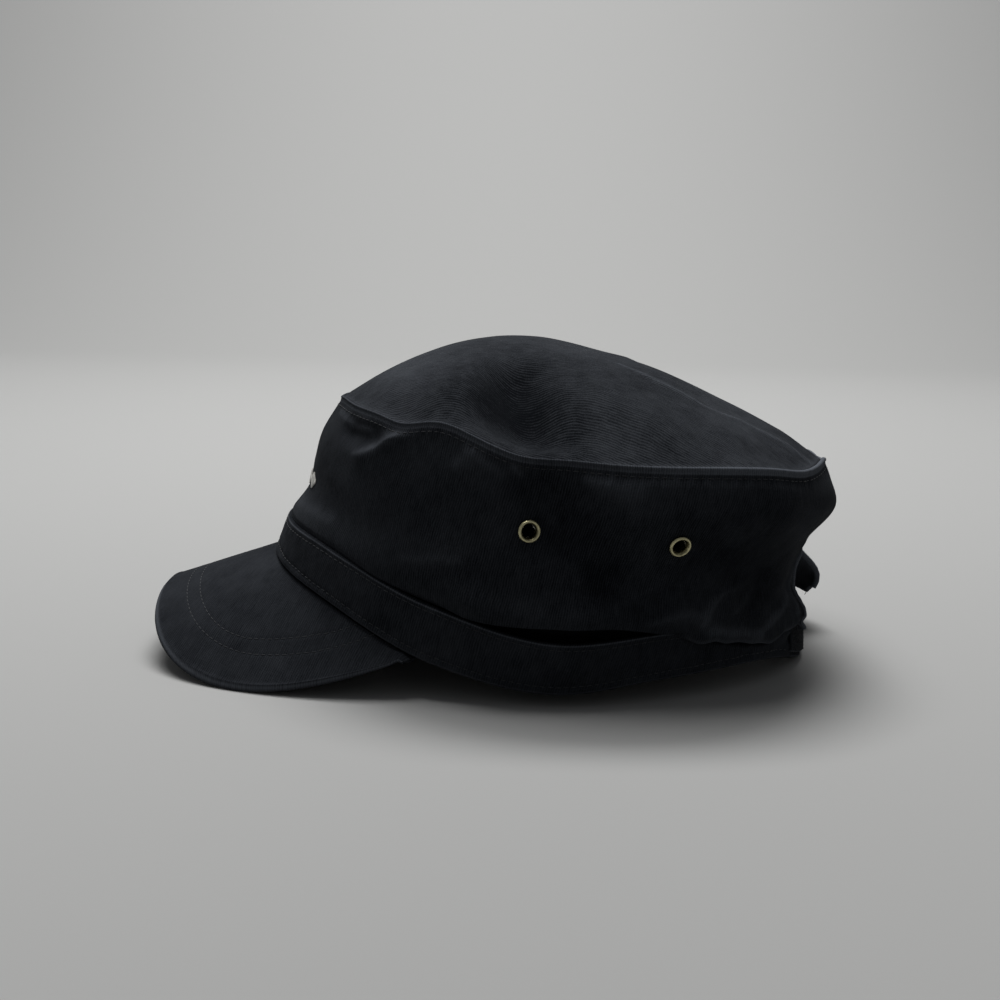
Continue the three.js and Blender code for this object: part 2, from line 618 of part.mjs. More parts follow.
add('side_wall', makeSideWall(), twill(0x1c1e22));
add('top_panel', makeTopPanel(), twill(0x202226));
add('headband', makeHeadband(), twill(0x1a1c20));
add('peak', makePeak(), twill(0x24262a));
add('back_strap', makeBackStrap(), twill(0x1b1d21));
add('loop_patch', makeLoopPatch(), twill(0x2a2c2f));
add('arch_binding', makeArchBinding(), twill(0x222428));
for (const place of EYELETS) {
  for (const [sideName, side] of [['left', 1], ['right', -1]]) {
    const eyelet = add(`eyelet_${sideName}_${place.name}`, makeEyelet(), brass);
    const { point, normal } = eyeletFrame(place, side);
    eyelet.position.copy(point);
    eyelet.quaternion.setFromUnitVectors(new THREE.Vector3(0, 1, 0), normal);
  }
}

// The origin is at the middle of the cap's box, on the table
cap.updateMatrixWorld(true);
const box = new THREE.Box3().setFromObject(cap, true);
const middle = box.getCenter(new THREE.Vector3());
cap.position.set(-middle.x, -middle.y, -box.min.z);

export default cap;
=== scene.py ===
# %% [markdown]
# # A washed cotton cadet cap
#
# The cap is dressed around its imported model. Cloth is a surface with a rule: a table of heights
# round the cap, a stack of ovals and a list of folds give every point of it. The same tables
# shaped the solids, so the dressed cap lies on them, with denser points and finer folds.

import bpy
import math
import numpy as np
from mathutils import Matrix, Vector


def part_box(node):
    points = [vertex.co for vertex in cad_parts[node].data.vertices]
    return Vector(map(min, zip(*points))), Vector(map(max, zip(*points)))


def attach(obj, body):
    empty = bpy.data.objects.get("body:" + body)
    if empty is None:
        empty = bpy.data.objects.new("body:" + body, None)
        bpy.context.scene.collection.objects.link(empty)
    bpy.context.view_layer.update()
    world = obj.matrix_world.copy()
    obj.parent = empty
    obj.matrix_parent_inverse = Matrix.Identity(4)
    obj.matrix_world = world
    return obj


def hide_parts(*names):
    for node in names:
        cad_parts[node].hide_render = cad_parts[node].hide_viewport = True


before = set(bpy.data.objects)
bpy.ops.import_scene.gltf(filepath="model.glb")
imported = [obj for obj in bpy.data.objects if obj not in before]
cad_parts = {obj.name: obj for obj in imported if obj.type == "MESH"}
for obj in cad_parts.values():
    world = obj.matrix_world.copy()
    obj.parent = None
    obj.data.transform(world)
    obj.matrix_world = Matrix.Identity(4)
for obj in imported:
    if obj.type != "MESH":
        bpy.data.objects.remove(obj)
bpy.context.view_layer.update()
print("nodes:", sorted(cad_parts))


def link_object(name, data):
    """New object for a mesh, a lamp or a camera, linked to the scene."""
    thing = bpy.data.objects.new(name, data)
    bpy.context.scene.collection.objects.link(thing)
    return thing



# %% [markdown]
# ## The rule of the cap
#
# A turn is an angle round the cap: 0 at the front, 90 at the wearer's left, 180 at the back.
# Heights are given every 30 degrees and joined by a smooth curve. Sizes here are in
# millimetres, as on a pattern, and become metres when a mesh is made.

# %% Sizes and tables
HALF_WIDTH, FRONT_REACH, BACK_REACH = 80.5, 106.0, 107.0
NOSE_LIFT, BAND_HEIGHT, WALL_HEIGHT = 39.0, 18.0, 64.0
DOME_RISE, DOME_SET_FORWARD = 37.0, 12.8
CLOTH, BAND_CLOTH, GAP, SEAM_ROLL = 1.6, 2.0, 0.3, 2.4
PEAK_TURN, PEAK_REACH, PEAK_HALF_WIDTH, PEAK_THICKNESS = 57.0, 44.0, 74.6, 3.0
PEAK_SLOPE, PEAK_BEND, PEAK_SQUARENESS = 0.35, 42.2, 2.9
ARCH_HALF_WIDTH, ARCH_RISE, BINDING = 34.0, 27.0, 2.9
STRAP_WIDTH, STRAP_CLOTH, STRAP_OVERLAP, REST_FLAT = 16.0, 1.6, 15.0, 0.7
PATCH_WIDTH, PATCH_LENGTH, PATCH_THICKNESS = 11.5, 32.0, 1.1

RIM_TABLE = [1.02, 0.845, 0.38, 0.145, 0.25, 0.26, 0.0]
BAND_TABLE = [0.78, 1.0, 1.17, 1.05, 0.95, 0.9, 0.95]
WALL_TABLE = [0.71, 0.75, 0.92, 0.978, 0.914, 0.88, 0.98]
# half width, front, back, middle, squareness in front, squareness behind
RIM = [1, 1, 1, 0, 2.1, 1.85]
BAND_TOP = [1.01, 0.95, 0.99, 0, 2.1, 1.85]
WALL_OVALS = [
    BAND_TOP,
    [1.037, 0.873, 0.955, 0.03, 2.1, 2.0],
    [1.056, 0.851, 0.975, 0.06, 2.1, 2.2],
    [1.068, 0.821, 1.045, 0.1, 2.1, 2.4],
    [1.073, 0.758, 0.985, 0.13, 2.1, 2.6],
]
# turn, out, hang, fade of the wall's foot
FOOT = np.array([
    [0, -0.1, 0.0, 0.06], [45, -0.2, 0.0, 0.06], [62, -0.9, 0.0, 0.06], [98, -1.1, 0.0, 0.06],
    [110, 0.6, 0.0, 0.12], [118, 1.6, 0.0, 0.22], [130, 1.75, 0.29, 0.28],
    [148, 1.75, 0.5, 0.28], [163, 1.75, 0.12, 0.28], [180, 1.75, 0.12, 0.28],
])
# turn, lift, spread
SEAM_WAVES = [
    (15, 0.02, 8), (43, -0.022, 6), (55, 0.034, 7), (73, -0.042, 9), (140, -0.024, 8),
    (156, 0.022, 6), (-24, -0.03, 15), (-60, 0.015, 9), (-80, -0.03, 10), (-120, 0.015, 12),
]
# turn, rise, to turn, to rise, width, push, blunt
WALL_FOLDS = [
    (44, 0.97, 36, 0.74, 0.07, 0.035, 1.5), (29, 0.84, 37, 0.86, 0.09, -0.04, 2),
    (52, 0.8, 58, 0.55, 0.16, -0.02, 2), (48, 0.14, 70, 0.3, 0.18, 0.025, 2),
    (75, 0.92, 85, 0.64, 0.13, -0.05, 1.8), (86, 0.6, 108, 0.27, 0.17, -0.05, 2),
    (70, 0.12, 104, 0.12, 0.09, 0.03, 2), (94, 0.86, 134, 0.84, 0.15, 0.03, 2),
    (121, 0.4, 140, 0.36, 0.18, -0.035, 2), (130, 0.02, 136, 0.36, 0.07, 0.022, 1.5),
    (142, 0.1, 156, 0.2, 0.08, -0.03, 2), (161, 0.1, 165, 0.34, 0.24, -0.06, 2),
    (-138, 0.12, -160, 0.08, 0.3, 0.1, 2), (-159, 0.0, -165, 0.13, 0.24, 0.23, 2.2),
    (-35, 0.9, -42, 0.66, 0.08, 0.03, 1.6), (-74, 0.92, -100, 0.34, 0.15, -0.05, 2),
    (-100, 0.86, -136, 0.8, 0.15, 0.03, 2), (-128, 0.36, -142, 0.14, 0.12, -0.03, 2),
]
# x, y, to x, to y, width, push, blunt
TOP_FOLDS = [
    (0.62, -0.16, 0.8, -0.1, 0.13, -0.075, 2), (0.8, -0.1, 0.98, 0.04, 0.12, -0.06, 2),
    (0.3, 0.38, 0.46, 0.49, 0.11, 0.015, 1.2), (0.1, 0.62, 0.3, 1.1, 0.26, 0.024, 2),
    (0.46, 0.49, 0.76, 0.79, 0.11, 0.03, 1.2), (0.76, 0.79, 0.76, 1.02, 0.1, 0.025, 1.2),
    (0.74, 0.24, 0.84, 0.4, 0.14, 0.03, 2), (0.5, -0.62, 0.7, -0.45, 0.18, 0.025, 2),
    (-0.35, 0.42, -0.72, 0.86, 0.12, 0.03, 1.4), (-0.6, -0.1, -0.92, 0.05, 0.14, -0.045, 2),
]
# turn and rise of the eyelets on the wall
EYELETS = {"front": (78.9, 0.61), "rear": (113.4, 0.57)}
EYELET_BARREL, EYELET_HOLE = 5.9, 4.9
low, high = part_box("headband")
SHIFT = np.array([500 * (low.x + high.x), 1000 * low.y + FRONT_REACH, 0.0])
print("the frame is shifted by", SHIFT.round(3), "mm")


# %% [markdown]
# ## Camera
#
# The photograph was taken from the wearer's left, half a metre away and a little above the cap.
# A camera can be aimed with a target object, or turned by hand. Here its axes are worked out
# from three angles, so that the turn of the picture around its middle is exact too.

# %% Camera
CAMERA_PLACE = Vector(np.array([500.0, -19.45, 150.07]) + SHIFT) / 1000
CAMERA_YAW, CAMERA_PITCH, CAMERA_ROLL = -0.0037, 0.1815, 0.0224
SENSOR, LENS = 36.0, 45.9

look = Vector((-math.cos(CAMERA_YAW) * math.cos(CAMERA_PITCH),
               -math.sin(CAMERA_YAW) * math.cos(CAMERA_PITCH), -math.sin(CAMERA_PITCH)))
right = look.cross(Vector((0, 0, 1))).normalized()
up = right.cross(look)
turned_right = right * math.cos(CAMERA_ROLL) + up * math.sin(CAMERA_ROLL)
turned_up = up * math.cos(CAMERA_ROLL) - right * math.sin(CAMERA_ROLL)
lens = bpy.data.cameras.new("camera")
lens.sensor_width, lens.lens = SENSOR, LENS
camera = link_object("camera", lens)
axes = Matrix((turned_right, turned_up, -look)).transposed().to_4x4()
camera.matrix_world = Matrix.Translation(CAMERA_PLACE) @ axes
bpy.context.scene.camera = camera
print("camera at", tuple(round(v, 3) for v in camera.location))


# %% Curves and ovals
def smooth_curve(values, before, after, place):
    """Smooth curve through values at whole places."""
    v = np.concatenate([[before], values, [after]])
    first = np.clip(np.floor(place), 0, len(values) - 2).astype(int)
    t = place - first
    p0, p1, p2, p3 = v[first], v[first + 1], v[first + 2], v[first + 3]
    bend = (2 * p0 - 5 * p1 + 4 * p2 - p3) * t * t + (3 * p1 - p0 - 3 * p2 + p3) * t ** 3
    return 0.5 * (2 * p1 + (p2 - p0) * t + bend)


def matched(*values):
    """Arrays of one shape, from numbers and arrays."""
    return np.broadcast_arrays(*(np.asarray(v, float) for v in values))


def run(points):
    """Distance along a line to each of its points."""
    return np.concatenate([[0], np.cumsum(np.linalg.norm(np.diff(points, axis=0), axis=1))])


def unit(vectors):
    """Vectors of length 1, along the last axis."""
    return vectors / np.maximum(np.linalg.norm(vectors, axis=-1, keepdims=True), 1e-9)


def bell(distance, spread):
    """1 at no distance, and less on both sides of it."""
    return np.exp(-((distance / spread) ** 2))


def wrapped(turn):
    return turn - 360 * np.round(turn / 360)


def ease(value, low, high):
    t = np.clip((value - low) / (high - low), 0, 1)
    return t * t * (3 - 2 * t)


def height_at(table, turn):
    return smooth_curve(np.array(table), table[1], table[-2], np.abs(wrapped(turn)) / 30)


def foot_at(column, turn):
    away = np.abs(wrapped(turn))
    row = np.clip(np.searchsorted(FOOT[:, 0], away), 1, len(FOOT) - 1)
    share = ease(away, FOOT[row - 1, 0], FOOT[row, 0])
    return FOOT[row - 1, column] * (1 - share) + FOOT[row, column] * share


def rim_height(turn):
    return np.maximum(0, height_at(RIM_TABLE, turn) * NOSE_LIFT - REST_FLAT)


def band_top_height(turn):
    return rim_height(turn) + height_at(BAND_TABLE, turn) * BAND_HEIGHT


def band_tall(turn):
    return band_top_height(turn) - rim_height(turn)


def foot_height(turn):
    return band_top_height(turn) + GAP - foot_at(2, turn) * BAND_HEIGHT


def seam_height(turn):
    height = band_top_height(turn) + height_at(WALL_TABLE, turn) * WALL_HEIGHT
    for at, lift, spread in SEAM_WAVES:
        height = height + lift * WALL_HEIGHT * bell(wrapped(turn - at), spread)
    return height


def oval_point(oval, turn, outwards=0.0):
    """Point of an oval, level with the table, moved outwards."""
    half, front, back, middle, front_square, back_square = oval

    def spot(angle):
        across, forward = np.sin(np.radians(angle)), np.cos(np.radians(angle))
        mid = middle * BACK_REACH
        ahead = forward > 0
        reach = np.where(ahead, front * FRONT_REACH + mid, back * BACK_REACH - mid)
        square = np.where(ahead, front_square, back_square)
        total = np.abs(across / (half * HALF_WIDTH)) ** square + np.abs(forward / reach) ** square
        radius = total ** (-1 / square)
        return np.stack(np.broadcast_arrays(radius * across, mid - radius * forward), -1)

    along = unit(spot(turn + 0.5) - spot(turn - 0.5))
    out = np.stack([along[..., 1], -along[..., 0]], -1) * np.asarray(outwards)[..., None]
    return spot(turn) + out


def wall_oval(share):
    """Oval of the wall at a share of its height above the headband."""
    table = np.array(WALL_OVALS, float)
    place = share * (len(table) - 1)
    return [smooth_curve(c, 2 * c[0] - c[1], 2 * c[-1] - c[-2], place) for c in table.T]


rim = oval_point(RIM, np.linspace(0, 360, 721))
print("rim measures", round(run(rim)[-1]), "mm round")


# %% [markdown]
# ## Folds
#
# A fold is a push along a line, strongest on the line and fading away from it. The solids carry
# the main ones. The dressed cloth adds the shelf that overhangs the headband, crisp creases,
# puckers along the seams and a slow, uneven swell that washed twill has.

# %% Folds
def fold_push(shape, x, y, line, scale):
    """Push of one fold at places x, y, given in millimetres from the fold's own start."""
    width, push, blunt = shape
    length = line[0] ** 2 + line[1] ** 2
    share = np.clip((x * line[0] + y * line[1]) / length, 0, 1)
    away = np.hypot(x - share * line[0], y - share * line[1])
    return push * scale * np.exp(-((away / (width * scale)) ** blunt))


ARC = math.radians(HALF_WIDTH + (FRONT_REACH + BACK_REACH) / 2) / 2


def wall_push(folds, turn, rise):
    total = 0.0
    for start, low, end, high, *shape in folds:
        x, y = wrapped(turn - start) * ARC, (rise - low) * WALL_HEIGHT
        line = ((end - start) * ARC, (high - low) * WALL_HEIGHT)
        total = total + fold_push(shape, x, y, line, WALL_HEIGHT)
    return total


# Finer creases that only the dressed cloth has
WALL_CREASES = [
    (43.5, 0.955, 38, 0.8, 0.025, 0.012, 1.5), (38, 0.8, 33, 0.72, 0.035, 0.008, 1.6),
    (34, 0.9, 27, 0.87, 0.03, 0.01, 1.6), (26, 0.84, 33, 0.8, 0.05, -0.006, 2),
    (72, 0.955, 79, 0.8, 0.03, 0.012, 1.5), (74, 0.86, 80, 0.83, 0.05, -0.012, 2),
    (80, 0.76, 84, 0.66, 0.03, 0.008, 1.5), (63, 0.95, 60, 0.82, 0.03, 0.008, 1.5),
    (127, 0.12, 128.2, 0.25, 0.028, 0.018, 1.3), (128.2, 0.25, 134, 0.33, 0.028, 0.016, 1.3),
    (135, 0.18, 140, 0.31, 0.03, 0.01, 1.4), (144.5, 0.04, 149, 0.15, 0.03, 0.018, 1.3),
    (149, 0.15, 156.5, 0.21, 0.03, 0.015, 1.3), (130, 0.07, 144, 0.05, 0.04, 0.016, 1.6),
    (146, 0.05, 156, 0.07, 0.03, -0.014, 1.6), (112, 0.1, 126, 0.16, 0.035, 0.009, 1.6),
    (158, 0.1, 163, 0.5, 0.025, 0.012, 1.5), (62, 0.93, 70, 0.9, 0.03, 0.006, 2),
    (18, 0.93, 26, 0.9, 0.03, 0.007, 2), (9, 0.12, 30, 0.16, 0.05, 0.007, 2),
    (54, 0.2, 66, 0.33, 0.03, 0.006, 1.6), (100, 0.2, 112, 0.3, 0.03, 0.007, 1.6),
    (88, 0.93, 100, 0.88, 0.04, 0.008, 1.8), (-44, 0.95, -37, 0.72, 0.024, 0.015, 1.4),
    (-76, 0.95, -84, 0.7, 0.03, 0.011, 1.5), (-128, 0.03, -133, 0.34, 0.028, 0.014, 1.3),
    (-146, 0.05, -155, 0.22, 0.03, 0.014, 1.3), (-18, 0.92, -28, 0.9, 0.03, 0.007, 2),
    (-92, 0.9, -118, 0.88, 0.03, 0.006, 2), (-112, 0.2, -124, 0.28, 0.04, 0.01, 1.6),
]
# Painted shade and painted light on the wall: darker dye in its dents and paler dye where its swells
# catch the light
WALL_PAINTED_SHADE_AND_LIGHT = [
    (80, 0.88, 98, 0.42, 0.16, -0.3, 2), (98, 0.3, 110, 0.2, 0.15, -0.2, 2),
    (122, 0.55, 142, 0.4, 0.24, -0.5, 2), (50, 0.8, 60, 0.9, 0.14, 0.08, 2),
    (98, 0.88, 118, 0.86, 0.13, 0.1, 2), (106, 0.5, 112, 0.4, 0.1, 0.1, 2),
    (-60, 0.7, -80, 0.5, 0.2, -0.3, 2), (-95, 0.8, -112, 0.75, 0.16, 0.1, 2),
    (-125, 0.5, -140, 0.3, 0.16, -0.35, 2), (160, 0.62, 176, 0.7, 0.12, -0.25, 2),
]
rng = np.random.default_rng(7)
SWELL = [(rng.uniform(0.5, 1), rng.integers(5, 41), rng.uniform(0, 6.3), rng.uniform(-14, 16))
         for _ in range(34)]


def swell(turn, rise):
    """Slow, uneven swell of washed cloth, from about -1 to 1."""
    total = 0.0
    for size, waves, phase, slant in SWELL:
        bent = phase + rise * slant + 0.9 * np.sin(rise * 7 + phase * 3)
        total = total + size * np.sin(np.radians(turn) * waves + bent) / waves ** 0.75
    return total / 2.4


print(len(WALL_FOLDS), "folds of the solid wall and", len(WALL_CREASES), "finer creases")


# %% The wall, its outer face
def band_point(turn, rise, outwards=0.0):
    """Outer face of the headband, from the rim at rise 0 to its top edge at rise 1."""
    turn, rise, outwards = matched(turn, rise, outwards)
    low = oval_point(RIM, turn, outwards)
    top = oval_point(BAND_TOP, turn, outwards)
    flat = low + (top - low) * rise[..., None]
    height = rim_height(turn) * (1 - rise) + band_top_height(turn) * rise
    return np.concatenate([flat, height[..., None]], -1)


# The dark slit between the band and the wall's lowest fold, and the hem behind it
SLIT_DEPTH, SLIT_LIP, HEM_TURNS = 3.2, 5.6, (118, 130)
# The lower edge beside the arch hangs lower on the wearer's right
FLARE_TURN, FLARE_DROP, FLARE_SPREAD = -158, 6.5, 9.0


def slit(turn, height):
    """Whether a turn has the slit, how far a place is out of it, and how near its lip it lies."""
    away = np.abs(wrapped(turn))
    room = ease(away, 60, 72) * (1 - ease(away, 117, 124))
    lip = 0.5 + SLIT_LIP * ease(away, 68, 92) * (1 - ease(away, 98, 122))
    above = height - band_top_height(turn)
    step = ease(above, lip - 0.8, lip + 0.35)
    return room, step, 1 - ease(above, lip + 3, lip + 19)


def eyelet_calm(turn, height):
    """Falls to nothing round the eyelets, which pull the cloth flat."""
    calm = 1.0
    for at, rise in EYELETS.values():
        level = seam_height(at) * rise + foot_height(at) * (1 - rise)
        away = np.hypot((np.abs(wrapped(turn)) - at) * ARC, height - level)
        calm = calm * ease(away, 4.2, 11)
    return calm


def puckers(turn):
    """Small waves round the cap, where a row of stitches pulls the cloth."""
    return np.sin(np.radians(turn) * 96 + 2.2 * np.sin(np.radians(turn) * 9))


def wall_point(turn, rise, detail=1.0):
    """Outer face of the side wall, from its foot at rise 0 to the seam at rise 1."""
    turn, rise = matched(turn, rise)
    ledge = band_top_height(turn) + GAP
    top = seam_height(turn) - SEAM_ROLL / 2
    foot = foot_height(turn)
    away = np.abs(wrapped(turn))
    hem_part = ease(away, *HEM_TURNS)
    if detail:
        wave = 0.5 * np.sin(np.radians(turn) * 31) + 0.5 * np.sin(np.radians(turn) * 47 + 1)
        foot = foot + detail * hem_part * 0.6 * wave
        foot = foot - detail * FLARE_DROP * bell(wrapped(turn - FLARE_TURN), FLARE_SPREAD)
    height = foot + (top - foot) * rise
    above = (height - ledge) / (top - ledge)
    out = foot_at(1, turn) * (CLOTH + GAP) * bell(rise, foot_at(3, turn))
    push = wall_push(WALL_FOLDS, turn, rise) * ease(1 - rise, 0, 0.08)
    out = out + np.maximum(push, push * ease(above, 0.02, 0.2))
    if detail:
        fine = ease(1 - rise, 0, 0.05) * eyelet_calm(turn, height)
        small = wall_push(WALL_CREASES, turn, rise) * fine + 0.62 * swell(turn, rise) * fine
        pull = puckers(turn)
        finer = np.sin(np.radians(turn) * 133 + 3 * np.sin(np.radians(turn) * 11))
        deep = 0.12 + 0.14 * ease(away, 40, 60)
        small = small + deep * (0.6 * pull + 0.6 * finer) * bell(top - height - 2.6, 2.4)
        room, step, fade = slit(turn, height)
        recess = (SLIT_DEPTH + np.maximum(out, 0)) * (1 - step)
        small = small * ease(above, -0.05, 0.09) + room * (2.6 * step * fade - recess)
        # the hem rolls in towards the band, and is pulled in where it is sewn
        tuck = bell(height - foot, 1.5) * np.minimum(1.3, np.maximum(out - CLOTH - 0.1, 0))
        sewn = (1 - hem_part) * (1 - room) * 0.9 * bell(height - foot, 1.1)
        small = small - hem_part * tuck - sewn
        small = small + hem_part * 0.25 * pull * bell(height - foot - 3.2, 2.5)
        out = out + detail * small
    upper = oval_point(wall_oval(np.clip(above, 0, 1)), turn, out)
    below = (height - rim_height(turn)) / (ledge - rim_height(turn))
    lower = band_point(turn, below, out)[..., :2]
    flat = np.where((above > 0)[..., None], upper, lower)
    return np.concatenate([flat, height[..., None]], -1)


def plain_wall_point(turn, rise):
    return wall_point(turn, rise, 0.0)


def normals_of(surface, turn, rise, rise_step=0.006):
    """Normals of a surface, from points a little to each side of a place."""
    turn, rise = matched(turn, rise)
    along = surface(turn + 0.5, rise) - surface(turn - 0.5, rise)
    rising = surface(turn, np.clip(rise + rise_step, 0, 1)) \
        - surface(turn, np.clip(rise - rise_step, 0, 1))
    return unit(np.cross(along, rising))


print("front of the wall's seam:", wall_point(0.0, 1.0).round(1))

# %% [markdown]
# ## From points to meshes
#
# Grids of points become quads. Every cloth piece also gets a UV map in metres, so a weave keeps
# its real size, and a wear attribute that is high on folded edges, where dye washes out first. The
# same attribute also carries painted shade, low in recesses and dents, and painted light, high on lit
# places.

# %% Mesh helpers
CLOTH_UV = "cloth"
WEAR_AND_PAINTED_LIGHT = "wear_and_painted_light"


def in_metres(points):
    """Places in the frame, from millimetres before the shift."""
    return ((np.asarray(points) + SHIFT) / 1000).tolist()


def make_mesh(name, points, quads, uv=None, wear_and_painted_light=None):
    """Object from points in millimetres, before the shift, and quads (a repeated corner makes a
    triangle). uv has one pair for each point, and wear one value."""
    mesh = bpy.data.meshes.new(name)
    mesh.from_pydata(in_metres(points), [],
                     [list(dict.fromkeys(q)) for q in np.asarray(quads).tolist()])
    mesh.validate()
    if uv is not None:
        layer = mesh.uv_layers.new(name=CLOTH_UV)
        corner = np.zeros(len(mesh.loops), int)
        mesh.loops.foreach_get("vertex_index", corner)
        layer.data.foreach_set("uv", np.asarray(uv, np.float32)[corner].ravel() / 1000)
    attribute = mesh.attributes.new(WEAR_AND_PAINTED_LIGHT, "FLOAT", "POINT")
    values = np.zeros(len(points)) if wear_and_painted_light is None else np.asarray(wear_and_painted_light, float)
    attribute.data.foreach_set("value", values.astype(np.float32))
    mesh.shade_smooth()
    return link_object(name, mesh)


def grid_quads(rows, columns, meets):
    """Quads of a grid of rows by columns of points, numbered along each row. Every row closes,
    and the last row meets the first if asked."""
    r, c = np.meshgrid(np.arange(rows if meets else rows - 1), np.arange(columns), indexing="ij")
    r2, c2 = (r + 1) % rows, (c + 1) % columns
    quads = np.stack([r * columns + c, r2 * columns + c, r2 * columns + c2, r * columns + c2], -1)
    return quads.reshape(-1, 4)


def end_caps(first, last, count):
    """Faces that close a section of an even number of points, as strips between its two sides."""
    caps = []
    for start in (first, last):
        caps += [[start + k, start + k + 1, start + count - 2 - k, start + count - 1 - k]
                 for k in range(count // 2 - 1)]
    return np.array(caps)


def swept(name, sections, meets=False, uv=None, wear_and_painted_light=None):
    """Closed piece through sections of equally many points."""
    columns, count = sections.shape[:2]
    quads = grid_quads(columns, count, meets)
    if not meets:
        quads = np.concatenate([quads, end_caps(0, (columns - 1) * count, count)])
    if uv is None:
        uv = np.stack(matched(run(sections.mean(1))[:, None], run(sections[columns // 2])), -1)
        uv = uv.reshape(-1, 2)
    return outward(make_mesh(name, sections.reshape(-1, 3), quads, uv, wear_and_painted_light))


def outward(piece):
    """Turns all faces of a closed piece to point outwards."""
    mesh = piece.data
    co = np.zeros(len(mesh.vertices) * 3)
    mesh.vertices.foreach_get("co", co)
    co = co.reshape(-1, 3)
    mesh.calc_loop_triangles()
    tri = np.zeros(len(mesh.loop_triangles) * 3, int)
    mesh.loop_triangles.foreach_get("vertices", tri)
    a, b, c = (co[tri.reshape(-1, 3)[:, k]] for k in range(3))
    volume = np.einsum("ij,ij->i", a, np.cross(b, c)).sum() / 6
    if volume < 0:
        mesh.flip_normals()
    print(piece.name, len(mesh.loop_triangles), "triangles,", round(abs(volume) * 1e6, 1), "cm3")
    return piece


# %% [markdown]
# ## Side wall
#
# One tall strip of twill, sewn to the headband below and rolled over at the top. It is opened
# at the back by an arch. A boolean cut would leave long thin faces along the arch, so the
# columns of the grid start on the arch instead, and crowd together where it is steep.

# %% Where the arch lies on the wall
def back_turn_at(distance):
    """Turn at the back where the rim is this far from the middle, found by halving."""
    low, high = 90.0, 180.0
    for _ in range(40):
        middle = (low + high) / 2
        if oval_point(RIM, np.array(middle))[0] > distance:
            low = middle
        else:
            high = middle
    return low


def back_wall_at(x, z, detail=1.0):
    """Turn and rise of the wall at places seen from behind."""
    x, z = np.asarray(x, float), np.asarray(z, float)
    turn = np.array([back_turn_at(abs(v)) * (-1 if v < 0 else 1) for v in np.atleast_1d(x)])
    turn = np.where(turn < 0, turn + 360, turn)
    rise = np.full(turn.shape, 0.2)
    for _ in range(60):
        point = wall_point(turn, rise, detail)
        turn = turn + 0.6 * np.degrees((point[..., 0] - x) / BACK_REACH)
        rise = rise + 0.8 * (z - point[..., 2]) / (seam_height(turn) - foot_height(turn))
    return turn, rise


def arch_at(angles, outside=0.0):
    """Turn and rise of the wall along the arch, or along a line a little outside it."""
    return back_wall_at((ARCH_HALF_WIDTH + outside) * np.cos(angles),
                        ARCH_LEVEL + (ARCH_RISE + outside) * np.sin(angles))


ARCH_COLUMNS, WALL_COLUMNS = 96, 500
ARCH_LEVEL = float(band_top_height(np.array(180.0)))
arch_turn, arch_rise = arch_at(np.linspace(0, np.pi, ARCH_COLUMNS))
print("arch from turn", arch_turn[[0, -1]].round(1), "and rise", arch_rise[[0, -1]].round(3))

# %% Side wall
WALL_RISES = np.unique(np.concatenate([
    np.linspace(0, 0.14, 32), np.linspace(0.14, 0.9, 40), np.linspace(0.9, 1, 18)]))


def leg_turn(side, rise):
    """Turn of the arch's leg at a rise: the place where the wall is as far out as the leg."""
    index = 0 if side > 0 else -1
    turn = np.full(rise.shape, arch_turn[index])
    for _ in range(40):
        x = wall_point(turn, rise)[..., 0]
        turn = turn + 0.6 * np.degrees((x - side * ARCH_HALF_WIDTH) / BACK_REACH)
    return turn


def wall_columns():
    """Turns and rises of the wall's grid, column by column, from one side of the arch to the
    other. The columns of the arch come last."""
    plain = np.linspace(arch_turn[-1] - 360, arch_turn[0], WALL_COLUMNS)
    turns = np.repeat(plain[:, None], len(WALL_RISES), 1)
    rises = np.repeat(WALL_RISES[None, :], len(plain), 0)
    for side, index, edge in ((1, 0, plain[-1]), (-1, -1, plain[0])):
        low = np.minimum(WALL_RISES, arch_rise[index])
        lean = leg_turn(side, low) - (360 if side < 0 else 0) - edge
        weight = bell(plain - edge, 6.0)
        turns += weight[:, None] * (lean - lean[-1])[None, :]
    over = arch_rise[1:-1, None] + (1 - arch_rise[1:-1, None]) * WALL_RISES[None, :]
    around = np.repeat(arch_turn[1:-1, None], len(WALL_RISES), 1)
    return np.concatenate([turns, around]), np.concatenate([rises, over])


def seam_radius(turn):
    """The rolled seam is thin in front and swells towards the back."""
    return 0.44 + 0.4 * ease(np.abs(wrapped(turn)), 70, 125)


wall_turns, wall_rises = wall_columns()
outer = wall_point(wall_turns, wall_rises)
inner = (outer - CLOTH * normals_of(plain_wall_point, wall_turns, wall_rises))[:, ::2]
centre = (outer[:, -1] + inner[:, -1]) / 2
centre[:, 2] = outer[:, -1, 2] + SEAM_ROLL / 2 + 0.3
sideways = unit((outer[:, -1] - inner[:, -1]) * [1, 1, 0])
radius = seam_radius(wall_turns[:, -1])[:, None]
ROLL_ANGLES = np.radians([-50, -20, 5, 30, 55, 80, 105, 130, 155, 185])
roll = np.stack([centre + radius * (sideways * math.cos(a) + np.array([0, 0, math.sin(a)]))
                 for a in ROLL_ANGLES], 1)
middle = (outer[:, 0] + inner[:, 0]) / 2
hem = np.stack([middle * (1 - s) + inner[:, 0] * s - [0, 0, d] for s, d in ((0.5, 0.35), (0, 0.5))]
               + [middle * 0.5 + outer[:, 0] * 0.5 - [0, 0, 0.35]], 1)
section = np.concatenate([outer, roll, inner[:, ::-1], hem], 1)
columns, count = section.shape[:2]
print("wall grid", columns, "columns of", count)
